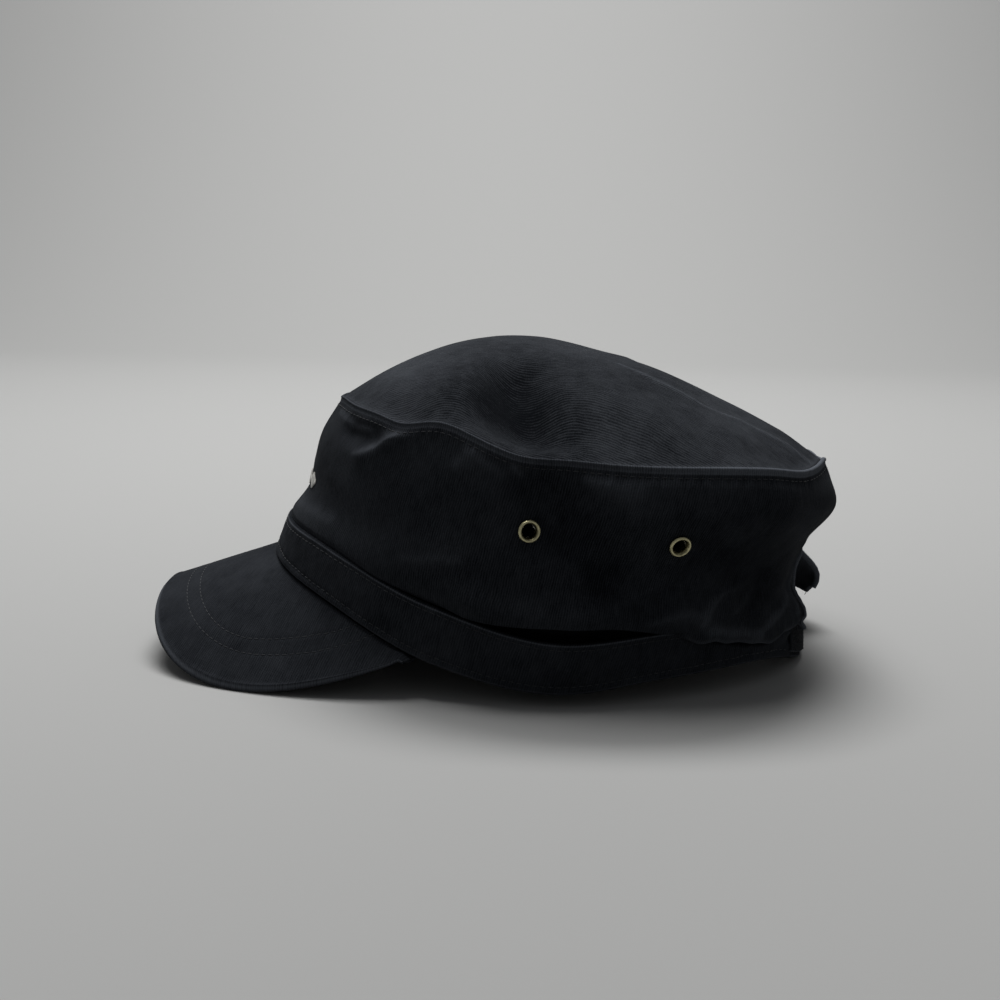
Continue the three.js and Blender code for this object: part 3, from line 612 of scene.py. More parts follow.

# %% Mesh of the side wall
# painted shade: how much darker the dye is made in the slit's recess under the wall's fold
SLIT_PAINTED_SHADE = -1.6
rises_in, turns_in = wall_rises[:, ::2][:, ::-1], wall_turns[:, ::2][:, ::-1]
u = run(oval_point(WALL_OVALS[2], wall_turns[:, 0]))[:, None] + np.zeros(count)
v = np.concatenate([wall_rises * WALL_HEIGHT, np.full((columns, len(ROLL_ANGLES)), WALL_HEIGHT + 2),
                    rises_in * WALL_HEIGHT, np.zeros((columns, 3))], 1)
rise_all = np.concatenate([wall_rises, np.ones((columns, len(ROLL_ANGLES))),
                           np.full(rises_in.shape, 0.5), np.zeros((columns, 3))], 1)
turn_all = np.concatenate([wall_turns, np.repeat(wall_turns[:, -1:], len(ROLL_ANGLES), 1), turns_in,
                           np.repeat(wall_turns[:, :1], 3, 1)], 1)
ridge = np.maximum(wall_push(WALL_CREASES, turn_all, rise_all), 0) / (0.015 * WALL_HEIGHT)
room, step, _ = slit(wall_turns, outer[..., 2])
# the slit's recess, to be darkened as painted shade
deep = np.zeros(rise_all.shape)
deep[:, :outer.shape[1]] = room * (1 - step)
away = np.abs(wrapped(turn_all))
hem_wear = ease(away, 118, 132) * bell(rise_all, 0.02)
# the rolled seam is paler, and more so towards the back
seam_paleness = 0.35 + 0.75 * ease(away, 90, 130)
wear_and_painted_light = seam_paleness * ease(rise_all, 0.992, 1.0) + 0.35 * np.clip(ridge, 0, 1) + 0.4 * hem_wear
# the wall's dents get painted shade and its lit swells painted light, and the slit's recess painted
# shade
wear_and_painted_light = wear_and_painted_light + wall_push(WALL_PAINTED_SHADE_AND_LIGHT, turn_all, rise_all) / WALL_HEIGHT + SLIT_PAINTED_SHADE * deep
first_inner = outer.shape[1] + len(ROLL_ANGLES)
# painted light: the inner face of the wall beside the arch is made paler, where it lies in shade
wear_and_painted_light[:, first_inner:] += 1.2 * ease(away[:, first_inner:], 138, 150)
side_wall = swept("washed_side_wall", section, True, np.stack([u, v], -1).reshape(-1, 2),
                  wear_and_painted_light.ravel())

# %% [markdown]
# ## Top
#
# The crown top is an oval panel, sewn inside the rolled seam and pushed up from below into a
# dome. Rings of points from the seam to the highest point make it. The outermost ring drops
# behind the roll, so no light comes through the seam.

# %% Top
RIDGE = [(0.44, 0.3), (0.5, 0.38), (0.55, 0.46), (0.58, 0.54), (0.6, 0.62), (0.6, 0.7),
         (0.59, 0.78), (0.58, 0.86), (0.58, 0.95), (0.59, 1.05), (0.605, 1.15)]
TOP_CREASES = [
    (0.6, -0.1, 0.68, -0.2, 0.11, -0.014, 1.8), (0.68, -0.2, 0.82, -0.26, 0.11, -0.018, 1.8),
    (0.82, -0.26, 0.96, -0.1, 0.1, -0.024, 1.8),
    (0.76, 0.0, 0.86, 0.12, 0.12, 0.014, 2), (0.5, -0.44, 0.72, -0.52, 0.14, 0.012, 2),
    (0.66, 0.3, 0.78, 0.62, 0.09, -0.006, 2), (0.2, -0.45, 0.52, -0.3, 0.08, 0.008, 2),
    (0.86, 0.14, 0.95, 0.3, 0.06, -0.012, 1.8), (0.36, 0.75, 0.6, 0.95, 0.07, -0.008, 2),
    (-0.2, 0.6, -0.5, 0.9, 0.05, 0.009, 1.4), (-0.5, -0.5, -0.7, -0.35, 0.07, 0.01, 2),
    (0.42, 0.1, 0.6, 0.3, 0.08, 0.007, 2), (0.3, -0.8, 0.5, -0.7, 0.05, 0.008, 2),
    (-0.12, 0.26, -0.42, 0.58, 0.16, -0.022, 2), (0.62, 0.66, 0.76, 0.79, 0.1, -0.02, 1.4),
    (0.76, 0.79, 0.76, 1.02, 0.1, -0.02, 1.2), (0.57, 0.84, 0.59, 1.05, 0.09, 0.018, 1.4),
]
# Painted shade in the dent on the top, as darker dye, and painted light on the swells, as paler dye
DENT_PAINTED_SHADE = [(0.57, -0.12, 0.68, -0.17, 0.12, 0.5, 1.7), (0.7, -0.17, 0.96, 0.02, 0.13, 0.55, 1.7),
            (0.74, -0.32, 0.94, -0.22, 0.16, 0.4, 1.7)]
SWELL_PAINTED_LIGHT = [(0.8, 0.12, 0.9, 0.19, 0.08, 0.1, 2), (0.1, -0.7, 0.5, -0.62, 0.16, 0.08, 2)]


def top_folds(folds, x, y):
    total = 0.0
    for x_0, y_0, x_1, y_1, *shape in folds:
        line = ((x_1 - x_0) * HALF_WIDTH, (y_1 - y_0) * HALF_WIDTH)
        total = total + fold_push(shape, x - x_0 * HALF_WIDTH, y - y_0 * HALF_WIDTH, line, HALF_WIDTH)
    return total


def ridge_line(x, y):
    """Push of the crisp fold, which is that of its nearest part."""
    return np.max([top_folds([(*a, *b, 0.018, 0.0085, 1.1)], x, y)
                   for a, b in zip(RIDGE, RIDGE[1:])], axis=0)


# Powers of the dome's curve, towards its sides, its front and its back
DOME_POWERS = 2.2, 1.92, 1.52


def top_point(turn, inwards, detail=1.0):
    """Upper face of the top, from the seam at inwards 0 to the highest point at 1."""
    turn, inwards = matched(turn, inwards)
    edge_room = CLOTH / 2 + (seam_radius(turn) + 0.15 if detail else SEAM_ROLL / 2 + GAP)
    edge = oval_point(WALL_OVALS[-1], turn, -edge_room)
    forward = np.cos(np.radians(turn))
    side, front, back = DOME_POWERS
    power = side + (np.where(forward > 0, front, back) - side) * forward ** 2
    low = seam_height(turn) + CLOTH / 4
    high = float(band_top_height(np.array(90.0))) + WALL_TABLE[3] * WALL_HEIGHT + DOME_RISE
    x = edge[..., 0] * (1 - inwards)
    y = edge[..., 1] * (1 - inwards) - DOME_SET_FORWARD * inwards
    z = low + (high - low) * (1 - (1 - inwards) ** power)
    z = z + ease(inwards, 0, 0.14) * top_folds(TOP_FOLDS, x, y)
    if detail:
        fine = ease(inwards, 0, 0.07)
        z = z + detail * fine * (top_folds(TOP_CREASES, x, y) + ridge_line(x, y)
                                 + 0.55 * (1 - inwards) * swell(turn, inwards * 1.6))
        z = z + detail * 0.16 * puckers(turn) * bell(inwards - 0.03, 0.02)
    return np.stack([x, y, z], -1)


TOP_TURNS = 480
top_turns = np.linspace(0, 360, TOP_TURNS, endpoint=False)[:, None]
top_steps = np.concatenate([np.linspace(0, 0.1, 14), np.linspace(0.1, 0.99, 92)[1:]])[None, :]
upper = top_point(top_turns, top_steps)
lower = (upper - CLOTH * normals_of(lambda t, r: top_point(t, r, 0.0), top_turns, top_steps))[:, ::2]
lower[:, 0] = upper[:, 0] - [0, 0, CLOTH]
skirt = upper[:, :1] - [0, 0, 1.1]
section = np.concatenate([skirt, upper, lower[:, ::-1]], 1)
count, rings = section.shape[1], top_steps.size
print("highest point", top_point(0.0, 1.0).round(1))

# %% Mesh of the top
x, y = section[..., 0], section[..., 1]
wear_and_painted_light = np.zeros(section.shape[:2])
wear_and_painted_light[:, 1:1 + rings] = 0.2 * bell(top_steps, 0.012)
wear_and_painted_light = wear_and_painted_light + np.clip(ridge_line(x, y) / 0.8, 0, 1) ** 2 * 0.45
# painted shade in the dent and painted light on the swells, as darker and paler dye
wear_and_painted_light = wear_and_painted_light - 1.3 * (1 - np.exp(-top_folds(DENT_PAINTED_SHADE, x, y) / HALF_WIDTH))
wear_and_painted_light = wear_and_painted_light + top_folds(SWELL_PAINTED_LIGHT, x, y) / HALF_WIDTH
quads = grid_quads(TOP_TURNS, count, True)
quads = quads[quads[:, 0] % count != rings]
pole = top_point(0.0, 1.0)
points = np.concatenate([section.reshape(-1, 3), [pole, pole - [0, 0, CLOTH]]])
ring_top = np.arange(TOP_TURNS) * count + rings
upper_pole, lower_pole = len(points) - 2, len(points) - 1
steps_round = list(zip(ring_top, np.roll(ring_top, -1)))
fans = [[a, b, upper_pole, upper_pole] for a, b in steps_round]
fans += [[b + 1, a + 1, lower_pole, lower_pole] for a, b in steps_round]
top_panel = make_mesh("domed_top", points, np.concatenate([quads, fans]), points[:, :2],
                      np.concatenate([wear_and_painted_light.ravel(), [0, 0]]))
outward(top_panel)

# %% [markdown]
# ## Headband
#
# The band is doubled twill, folded at both edges and open where the arch is. Its section is a
# rounded strip, a little thinner at its two rows of stitches, which pull the layers together.

# %% Headband
band_end = back_turn_at(ARCH_HALF_WIDTH + BINDING / 2)
band_turns = np.linspace(-band_end, band_end, 560)
BAND_ROW_LOW, BAND_ROW_TOP = 3.0, 2.4


def band_face(turn, rise):
    """Outer face of the dressed headband, with the dips of its two rows of stitches, the cord in
    its lower edge and the soft dents that it has at the rear."""
    turn, rise = matched(turn, rise)
    from_low, from_top = rise * band_tall(turn), (1 - rise) * band_tall(turn)
    out = -0.26 * bell(from_low - BAND_ROW_LOW, 0.6) - 0.14 * bell(from_top - BAND_ROW_TOP, 0.8)
    out = out + 0.12 * bell(from_low - 1.5, 1.0)
    pull = np.sin(np.radians(turn) * 88 + 2 * np.sin(np.radians(turn) * 7))
    out = out + 0.13 * pull * (bell(from_top - 3.6, 2.0) + bell(from_low - 4.4, 1.8))
    wave = 0.55 * swell(turn + 40, rise * 0.6)
    rear = ease(np.abs(turn), 116, 146)
    slant = np.abs(turn) * 0.55 - from_low * 0.62
    crumple = np.sin(slant) + 0.6 * np.sin(slant * 1.9 + 1.3)
    wave = np.minimum(wave, 0.25) - rear * (0.5 + 0.42 * crumple) * ease(from_low, 0.5, 3)
    return band_point(turn, rise, out + wave * ease(from_top, 0, 1.5))


def band_section(turn):
    """Closed section of the headband at each turn."""
    turn = turn[:, None]
    face = band_face(turn, np.linspace(0.04, 0.96, 40)[None, :])
    back = band_point(turn, np.linspace(0.96, 0.04, 16)[None, :], -BAND_CLOTH)
    depth = np.array([[-0.3, -1.0, -1.7]])
    fold_top = band_point(turn, np.array([[0.99, 1.0, 0.99]]), depth)
    fold_low = band_point(turn, np.array([[0.012, 0.0, 0.012]]), depth[:, ::-1])
    return np.concatenate([face, fold_top, back, fold_low], 1)


section = band_section(band_turns)
columns, count = section.shape[:2]
edge = np.zeros(count)
# faded at the rim and along the upper edge; the upward faces of the upper fold are darkened, which is
# painted shade
edge[[0, 59, 60, 61]] = 0.35
edge[39], edge[[40, 41, 42]] = 0.7, -0.5
# painted shade: the band is darkened where the wall's hem hangs over it at the back
shade_under_hem = ease(np.abs(band_turns), 128, 138)[:, None] \
    * ease(section[..., 2] - foot_height(band_turns)[:, None], -2.6, -0.6)
headband = swept("folded_headband", section, wear_and_painted_light=(edge - 1.4 * shade_under_hem).ravel())

# %% [markdown]
# ## Facing inside the foot of the wall
#
# On the real cap the wall is sewn between the layers of the band. A thin ring inside does this
# job: it leaves the wall's inner face and goes down behind the band, so no gap shows.

# %% Facing
FACING_RISE, FACING_CLOTH = 9.0, 0.6
# How far in it runs, behind the wall, at its bend and behind the band, and a height on the band
BEHIND_WALL, KNEE_IN, BEHIND_BAND, DOWN_BAND = 1.9, 4.9, 2.2, 0.66
turns = np.linspace(-band_end, band_end, 300)
ledge = band_top_height(turns)
foot = foot_height(turns)
start = wall_point(turns, (ledge + FACING_RISE - foot) / (seam_height(turns) - foot))
outer_oval = oval_point(BAND_TOP, turns)
inwards = oval_point(BAND_TOP, turns, -1.0 + 0 * turns) - outer_oval
start[:, :2] += BEHIND_WALL * inwards
knee = np.concatenate([outer_oval + KNEE_IN * inwards, (ledge + 1.5)[:, None]], 1)
half_way = band_point(turns, DOWN_BAND, -BEHIND_BAND)
# In front it goes on below the rim, behind the peak
down = band_point(turns, DOWN_BAND - 0.84 * (1 - ease(np.abs(turns), 56, 61)), -BEHIND_BAND)
path = np.stack([start, (start + knee) / 2 - [0, 0, 0.8], knee, half_way, down], 1)
back = path[:, ::-1].copy()
back[..., :2] += FACING_CLOTH * inwards[:, None]
facing = swept("inner_facing", np.concatenate([path, back], 1))

# %% [markdown]
# ## Peak
#
# A stiff board between two layers of twill. Its middle face runs from under the headband to a
# rounded free edge; the upper and under sides lie on both sides of it and meet in a lip.

# %% Peak
def peak_point(across, along):
    """Middle face of the peak, from the headband at along 0 to its free edge at along 1."""
    across, along = matched(across, along)
    end = oval_point(RIM, np.array(PEAK_TURN))
    turn = across * PEAK_TURN
    sewn = oval_point(RIM, turn, -BAND_CLOTH + 0 * turn)
    swing = across * np.pi / 2
    reach = FRONT_REACH + PEAK_REACH + end[1]
    total = np.abs(np.sin(swing) / PEAK_HALF_WIDTH) ** PEAK_SQUARENESS \
        + np.abs(np.cos(swing) / reach) ** PEAK_SQUARENESS
    radius = total ** (-1 / PEAK_SQUARENESS)
    free = np.stack([radius * np.sin(swing), end[1] - radius * np.cos(swing)], -1)

    def fall(p):
        sideways = p[..., 0] / PEAK_HALF_WIDTH
        ahead = -FRONT_REACH - p[..., 1]
        return rim_height(np.array(0.0)) - PEAK_SLOPE * ahead - PEAK_BEND * sideways ** 2

    p = sewn + (free - sewn) * along[..., None]
    seat = rim_height(turn) - fall(sewn)
    corner = ease(np.abs(across), 0.93, 1)
    p = p - 3.0 * (ease(np.abs(across), 0.955, 1) * along)[..., None] * np.array([0, 1.0])
    height = (fall(p) + seat * (1 - along) ** 2) * (1 - corner) + rim_height(turn) * corner
    return np.concatenate([p, (height - GAP - PEAK_THICKNESS / 2)[..., None]], -1)


# across and along of the two rows of stitches, on one half of the peak
PEAK_ROWS = [
    [(0, 0.76), (0.09, 0.757), (0.19, 0.748), (0.26, 0.741), (0.33, 0.732), (0.4, 0.72),
     (0.46, 0.705), (0.51, 0.68), (0.59, 0.62), (0.67, 0.54), (0.74, 0.41), (0.79, 0.24),
     (0.82, 0.03)],
    [(0, 0.66), (0.09, 0.655), (0.17, 0.645), (0.25, 0.637), (0.33, 0.629), (0.39, 0.615),
     (0.45, 0.583), (0.52, 0.51), (0.6, 0.407), (0.68, 0.272), (0.72, 0.15), (0.745, 0.03)],
]


def row_along(row, across):
    place, along = np.array(row).T
    return np.interp(np.abs(across), place, along)


def peak_upwards(across, along):
    """Upward normals of the peak's middle face."""
    held = np.clip(across, -0.97, 0.97)
    side = peak_point(held + 0.01, along) - peak_point(held - 0.01, along)
    forth = peak_point(held, np.minimum(along + 0.01, 1)) - peak_point(held, along - 0.01)
    normal = unit(np.cross(side, forth))
    return normal * np.sign(normal[..., 2:])


def peak_face(across, along, side=1.0):
    """Upper face of the peak, or its under face for side -1, rounded at the free edge and sunk
    a little along the stitches."""
    across, along = matched(across, along)
    taper = 1 - 0.55 * ease(np.abs(across), 0.75, 1)
    lip = np.clip((along - 0.95) / 0.05, 0, 1)
    half = taper * PEAK_THICKNESS / 2 * np.sqrt(np.clip(1 - lip ** 2, 0, 1))
    sunk = sum(bell(along - row_along(row, across), 0.7 / 46) for row in PEAK_ROWS)
    piping = 0.3 * bell(along - 0.966, 0.014)
    half = half + (taper * piping - 0.16 * sunk * (np.abs(across) < 0.82)) * (side > 0)
    half = half + taper * 0.12 * swell(across * 90, along) * (1 - lip)
    forward = unit(peak_point(across, np.minimum(along, 1)) - peak_point(across, along - 0.05))
    push = 0.9 * taper * lip ** 3
    return peak_point(across, along) + side * half[..., None] * peak_upwards(across, along) \
        + push[..., None] * forward


peak_across = np.linspace(-1, 1, 300)[:, None]
peak_along = np.concatenate([np.linspace(0, 0.95, 72), np.linspace(0.95, 1, 12)[1:]])[None, :]
top_side = peak_face(peak_across, peak_along)
under_side = peak_face(peak_across, peak_along, -1.0)
section = np.concatenate([top_side, under_side[:, ::-1]], 1)
edge = bell(peak_along[0] - 0.985, 0.012)
peak = swept("curved_peak", section, uv=section[..., :2].reshape(-1, 2),
             wear_and_painted_light=np.tile(np.concatenate([edge, edge[::-1]]), section.shape[0]))
print("the tip of the peak is at", peak_face(0.0, 1.0).round(1))

# %% [markdown]
# ## The back
#
# The arch is bound with a folded tape. A strap of the same cloth crosses the opening, with a
# patch of loop tape on it. Each is a rounded section, swept along the headband or the arch.

# %% Bound edge of the arch
def softened(wave):
    """A sine or cosine with a squarer curve."""
    return np.sign(wave) * np.abs(wave) ** 0.8


path_turn, path_rise = arch_at(np.linspace(0, np.pi, 120), -(BINDING / 2 + GAP))
# The path's feet lie a little below the wall's foot, where the wall has no normals
outwards = normals_of(plain_wall_point, path_turn, np.maximum(path_rise, 0.01))
core = wall_point(path_turn, path_rise) - CLOTH / 2 * outwards
ahead = unit(np.gradient(core, axis=0))
across = unit(np.cross(outwards, ahead))
ring = np.linspace(0, 2 * np.pi, 24, endpoint=False)
length = run(core)
pucker = 1 + 0.05 * np.sin(length * 2.3 + 1.5 * np.sin(length * 0.31))[:, None]
reach = BINDING / 2 * 0.93 * pucker
section = core[:, None] + (reach * softened(np.cos(ring)))[..., None] * across[:, None] \
    + (reach * softened(np.sin(ring)))[..., None] * outwards[:, None]
# painted light: the tape is made paler all round to lift it out of its shade, and paler still on its
# outer side
binding = swept("bound_edge", section, wear_and_painted_light=np.tile(0.8 + 0.3 * np.sin(ring), len(core)))

# %% Strap and loop patch
def strip(name, turns, low, high, outwards, thickness, soft, rows=()):
    """Flat sewn strip that follows the headband between two heights above the rim. soft is the
    size of its dents, and rows are the heights of its stitches."""
    turn = turns[:, None]
    tall = band_tall(turn)
    face = np.linspace(low + 0.25, high - 0.25, 28)[None, :]
    dip = sum(0.16 * bell(face - row, 0.6) for row in rows)
    wave = soft * swell(turn * 1.3 + 15, face / 40)
    back = np.linspace(high - 0.25, low + 0.25, 10)[None, :]
    edge = outwards - thickness * np.array([[0.3, 0.5, 0.7]])
    section = np.concatenate([
        band_point(turn, face / tall, outwards - dip + np.minimum(wave, 0)),
        band_point(turn, high / tall, edge),
        band_point(turn, back / tall, outwards - thickness),
        band_point(turn, low / tall, edge[:, ::-1])], 1)
    wear_and_painted_light = np.zeros(section.shape[1])
    # both edges are rubbed
    wear_and_painted_light[[0, 27, 28, 29, 41, 42, 43]] = 0.7
    return swept(name, section, wear_and_painted_light=np.tile(wear_and_painted_light, len(turns)))


STRAP_OUT = -(BAND_CLOTH + GAP)
PILE_HEIGHT = 0.35
PATCH_OUT = PATCH_THICKNESS - PILE_HEIGHT - BAND_CLOTH
STRAP_ROWS = (2.0, STRAP_WIDTH - 2.0)
strap_end = back_turn_at(ARCH_HALF_WIDTH + STRAP_OVERLAP)
strap = strip("cloth_strap", np.linspace(strap_end, 360 - strap_end, 150), 0, STRAP_WIDTH,
              STRAP_OUT, STRAP_CLOTH, 0.4, STRAP_ROWS)
patch_start = back_turn_at(ARCH_HALF_WIDTH - 4 * GAP)
patch_end = patch_start + math.degrees(PATCH_LENGTH / BACK_REACH)
patch_low = (STRAP_WIDTH - PATCH_WIDTH) / 2
patch = strip("loop_tape_base", np.linspace(patch_start, patch_end, 60), patch_low,
              patch_low + PATCH_WIDTH, PATCH_OUT, PATCH_THICKNESS - PILE_HEIGHT, 0.0)

# %% [markdown]
# ## Eyelets
#
# Each eyelet is a profile turned round its axis: a rolled ring outside, a barrel through the
# cloth and a flat washer inside. The wall gets real holes, cut by a boolean with round pins.
# The modifier's result is then made into a plain mesh, so nothing is left to evaluate later.

# %% Eyelets
EYELET_SEAT = 0.65
under = -CLOTH - EYELET_SEAT
hole, barrel, flange = EYELET_HOLE / 2, EYELET_BARREL / 2, 4.0
profile = np.array([
    (hole, under - 0.3), (hole - 0.1, 0.0), (hole, 0.35), (hole + 0.16, 0.7), (hole + 0.42, 1.06),
    (hole + 0.72, 1.32), (hole + 0.98, 1.36), (flange - 0.3, 1.2), (flange - 0.12, 0.9),
    (flange - 0.03, 0.55), (flange - 0.1, 0.3), (barrel + 0.1, 0.22), (barrel - 0.03, 0.1),
    (barrel - 0.03, under + 0.1), (barrel + 0.1, under + 0.02), (flange - 0.1, under),
    (flange, under - 0.18), (flange - 0.15, under - 0.4), (hole + 0.2, under - 0.42)])
spin = np.linspace(0, 2 * np.pi, 72, endpoint=False)
polish = np.full(len(profile), -1.0)
polish[3:11] = [-0.9, -0.5, 0.6, 1.0, 1.0, 0.8, 0.3, -0.4]


def eyelet_frame(side, name):
    """Middle of the hole on the cloth's outer face, and the way the eyelet looks."""
    turn, rise = side * EYELETS[name][0], EYELETS[name][1]
    return wall_point(turn, rise, 0.0), normals_of(plain_wall_point, turn, rise)


eyelets, pins = {}, []
for side, side_name in ((1, "left"), (-1, "right")):
    for name in EYELETS:
        spot, normal = eyelet_frame(side, name)
        level = unit(np.cross([0, 0, 1], normal))
        upright = np.cross(normal, level)
        ways = np.cos(spin)[:, None] * level + np.sin(spin)[:, None] * upright
        rings = spot + profile[None, :, :1] * ways[:, None] + profile[None, :, 1:] * normal
        key = f"eyelet_{side_name}_{name}"
        eyelets[key] = swept("turned_" + key, rings, True, wear_and_painted_light=np.tile(polish, len(spin)))
        pins.append((spot, normal, ways))


# %% Holes in the wall
def drill(piece, pins, radius, reach):
    """Cuts a round hole through a closed piece at each pin."""
    points, faces = [], []
    for spot, normal, ways in pins:
        start, sides = len(points), len(ways)
        for end in (-reach, reach):
            points += list(spot + radius * ways + end * normal)
        around = range(sides)
        faces += [[start + k, start + (k + 1) % sides, start + sides + (k + 1) % sides,
                   start + sides + k] for k in around]
        faces += [[start + k for k in reversed(around)], [start + sides + k for k in around]]
    mesh = bpy.data.meshes.new("pins")
    mesh.from_pydata(in_metres(points), [], faces)
    cutter = link_object("pins", mesh)
    cut = piece.modifiers.new("holes", "BOOLEAN")
    cut.operation, cut.object, cut.solver = "DIFFERENCE", cutter, "MANIFOLD"
    make_plain(piece)
    bpy.data.objects.remove(cutter)


def make_plain(piece):
    """Turns an object with modifiers into the mesh that they make."""
    graph = bpy.context.evaluated_depsgraph_get()
    result = bpy.data.meshes.new_from_object(piece.evaluated_get(graph),
                                             preserve_all_data_layers=True, depsgraph=graph)
    piece.modifiers.clear()
    piece.data = result


before = len(side_wall.data.polygons)
drill(side_wall, pins, barrel + 0.05, 8.0)
side_wall.data.shade_smooth()
print("faces of the wall:", before, "before and", len(side_wall.data.polygons), "after drilling")
print("layers kept:", [layer.name for layer in side_wall.data.uv_layers],
      WEAR_AND_PAINTED_LIGHT in side_wall.data.attributes)

# %% [markdown]
# ## Stitches with Geometry Nodes
#
# A row of stitches is a line on the cloth with one short thread at each step. The node tree
# turns the line into a curve, samples it at the pitch of the seam, puts an ellipsoid on each
# point along the curve's tangent, and makes them real. The named inputs are set for each row.

# %% A node tree for rows of stitches
def new_tree(name, sockets):
    """Geometry node tree with a geometry in and out, and the named inputs."""
    tree = bpy.data.node_groups.new(name, "GeometryNodeTree")
    tree.interface.new_socket("Geometry", in_out="INPUT", socket_type="NodeSocketGeometry")
    for title, kind, value in sockets:
        socket = tree.interface.new_socket(title, in_out="INPUT", socket_type=kind)
        if value is not None:
            socket.default_value = value
    tree.interface.new_socket("Geometry", in_out="OUTPUT", socket_type="NodeSocketGeometry")
    return tree, tree.nodes.new("NodeGroupInput"), tree.nodes.new("NodeGroupOutput")


def add(tree, kind, links=(), **settings):
    """Adds a node, sets its properties, and links or sets its inputs by name or number."""
    made = tree.nodes.new(kind)
    for key, value in settings.items():
        setattr(made, key, value)
    for title, source in links:
        socket = made.inputs[title]
        if hasattr(source, "is_output"):
            tree.links.new(source, socket)
        else:
            socket.default_value = source
    return made


def end_tree(tree, start, end, geometry):
    """Makes instances real and smooth, and gives them the material."""
    real = add(tree, "GeometryNodeRealizeInstances", [("Geometry", geometry)])
    smooth = add(tree, "GeometryNodeSetShadeSmooth", [("Geometry", real.outputs[0])])
    dyed = add(tree, "GeometryNodeSetMaterial", [("Geometry", smooth.outputs[0]),
                                                 ("Material", start.outputs["Material"])])
    tree.links.new(dyed.outputs[0], end.inputs[0])
    return tree


def stitch_tree():
    tree, start, end = new_tree("stitch_row", [
        ("Pitch", "NodeSocketFloat", 0.0026), ("Length", "NodeSocketFloat", 0.0021),
        ("Thickness", "NodeSocketFloat", 0.0004), ("Unevenness", "NodeSocketFloat", 0.18),
        ("Seed", "NodeSocketInt", 1), ("Material", "NodeSocketMaterial", None)])
    line = add(tree, "GeometryNodeMeshToCurve", [("Mesh", start.outputs["Geometry"])])
    steps = add(tree, "GeometryNodeResampleCurve", [
        ("Curve", line.outputs[0]), ("Length", start.outputs["Pitch"])], mode="LENGTH")
    thread = add(tree, "GeometryNodeMeshIcoSphere", [("Radius", 0.5), ("Subdivisions", 2)])
    tangent = add(tree, "GeometryNodeInputTangent")
    turned = add(tree, "FunctionNodeAlignRotationToVector", [("Vector", tangent.outputs[0])],
                 axis="X")
    low = add(tree, "ShaderNodeMath", [(0, 1.0), (1, start.outputs["Unevenness"])],
              operation="SUBTRACT")
    uneven = add(tree, "FunctionNodeRandomValue", [
        ("Seed", start.outputs["Seed"]), (2, low.outputs[0]), (3, 1.0)], data_type="FLOAT")
    long = add(tree, "ShaderNodeMath", [(0, start.outputs["Length"]), (1, uneven.outputs[1])],
               operation="MULTIPLY")
    size = add(tree, "ShaderNodeCombineXYZ", [("X", long.outputs[0]),
                                              ("Y", start.outputs["Thickness"]),
                                              ("Z", start.outputs["Thickness"])])
    placed = add(tree, "GeometryNodeInstanceOnPoints", [
        ("Points", steps.outputs[0]), ("Instance", thread.outputs["Mesh"]),
        ("Rotation", turned.outputs[0]), ("Scale", size.outputs[0])])
    return end_tree(tree, start, end, placed.outputs[0])


STITCHES = stitch_tree()
print("stitch tree:", len(STITCHES.nodes), "nodes")


# %% Rows of stitches
def set_inputs(modifier, **values):
    """Sets a node modifier's inputs by the names of its sockets."""
    for item in modifier.node_group.interface.items_tree:
        if item.item_type == "SOCKET" and item.in_out == "INPUT" and item.name in values:
            modifier[item.identifier] = values[item.name]


def line_object(name, lines):
    """Object of open or closed lines. Each is points in millimetres, and whether it is closed."""
    points, edges = [], []
    for line, closed in lines:
        first = len(points)
        points += in_metres(line)
        edges += [(first + k, first + k + 1) for k in range(len(line) - 1)]
        if closed:
            edges.append((len(points) - 1, first))
    mesh = bpy.data.meshes.new(name)
    mesh.from_pydata(points, edges, [])
    return link_object(name, mesh)


def grown(name, lines, tree, **values):
    """Plain mesh of what a node tree makes of some lines."""
    piece = line_object(name, lines)
    modifier = piece.modifiers.new("nodes", "NODES")
    modifier.node_group = tree
    set_inputs(modifier, **values)
    make_plain(piece)
    print(name, len(piece.data.polygons), "faces")
    return piece


def lifted(surface, turn, rise, height, rise_step=0.006):
    """Points a little above a surface."""
    return surface(turn, rise) + height * normals_of(surface, turn, rise, rise_step)


def new_material(name, **sockets):
    """Material whose shader has its sockets set by name, with _ for a space."""
    material = bpy.data.materials.new(name)
    material.use_nodes = True
    shader = material.node_tree.nodes["Principled BSDF"]
    for title, value in sockets.items():
        shader.inputs[title.replace("_", " ")].default_value = value
    return material, material.node_tree, shader


def ramp_node(tree, value, *stops):
    """Colour ramp with two stops, each a position and a colour."""
    ramp = add(tree, "ShaderNodeValToRGB", [(0, value)])
    for element, (position, colour) in zip(ramp.color_ramp.elements, stops):
        element.position = position
        element.color = (*colour, 1)
    return ramp.outputs[0]


def bump_into(tree, shader, height, distance, strength=1.0):
    bump = add(tree, "ShaderNodeBump", [("Strength", strength), ("Distance", distance),
                                        ("Height", height)])
    tree.links.new(bump.outputs[0], shader.inputs["Normal"])


def thread_material(name, colour, shade=0.5):
    """Spun thread: a soft sheen and a fine uneven colour."""
    material, tree, shader = new_material(name, Roughness=0.72, Specular_IOR_Level=0.2,
                                          Sheen_Weight=0.1)
    place = add(tree, "ShaderNodeTexCoord")
    noise = add(tree, "ShaderNodeTexNoise", [("Scale", 900), ("Detail", 3),
                                             ("Vector", place.outputs["Object"])])
    dye = ramp_node(tree, noise.outputs[0], (0.3, [c * shade for c in colour]), (0.7, colour))
    tree.links.new(dye, shader.inputs["Base Color"])
    bump_into(tree, shader, noise.outputs[0], 0.00008)
    return material


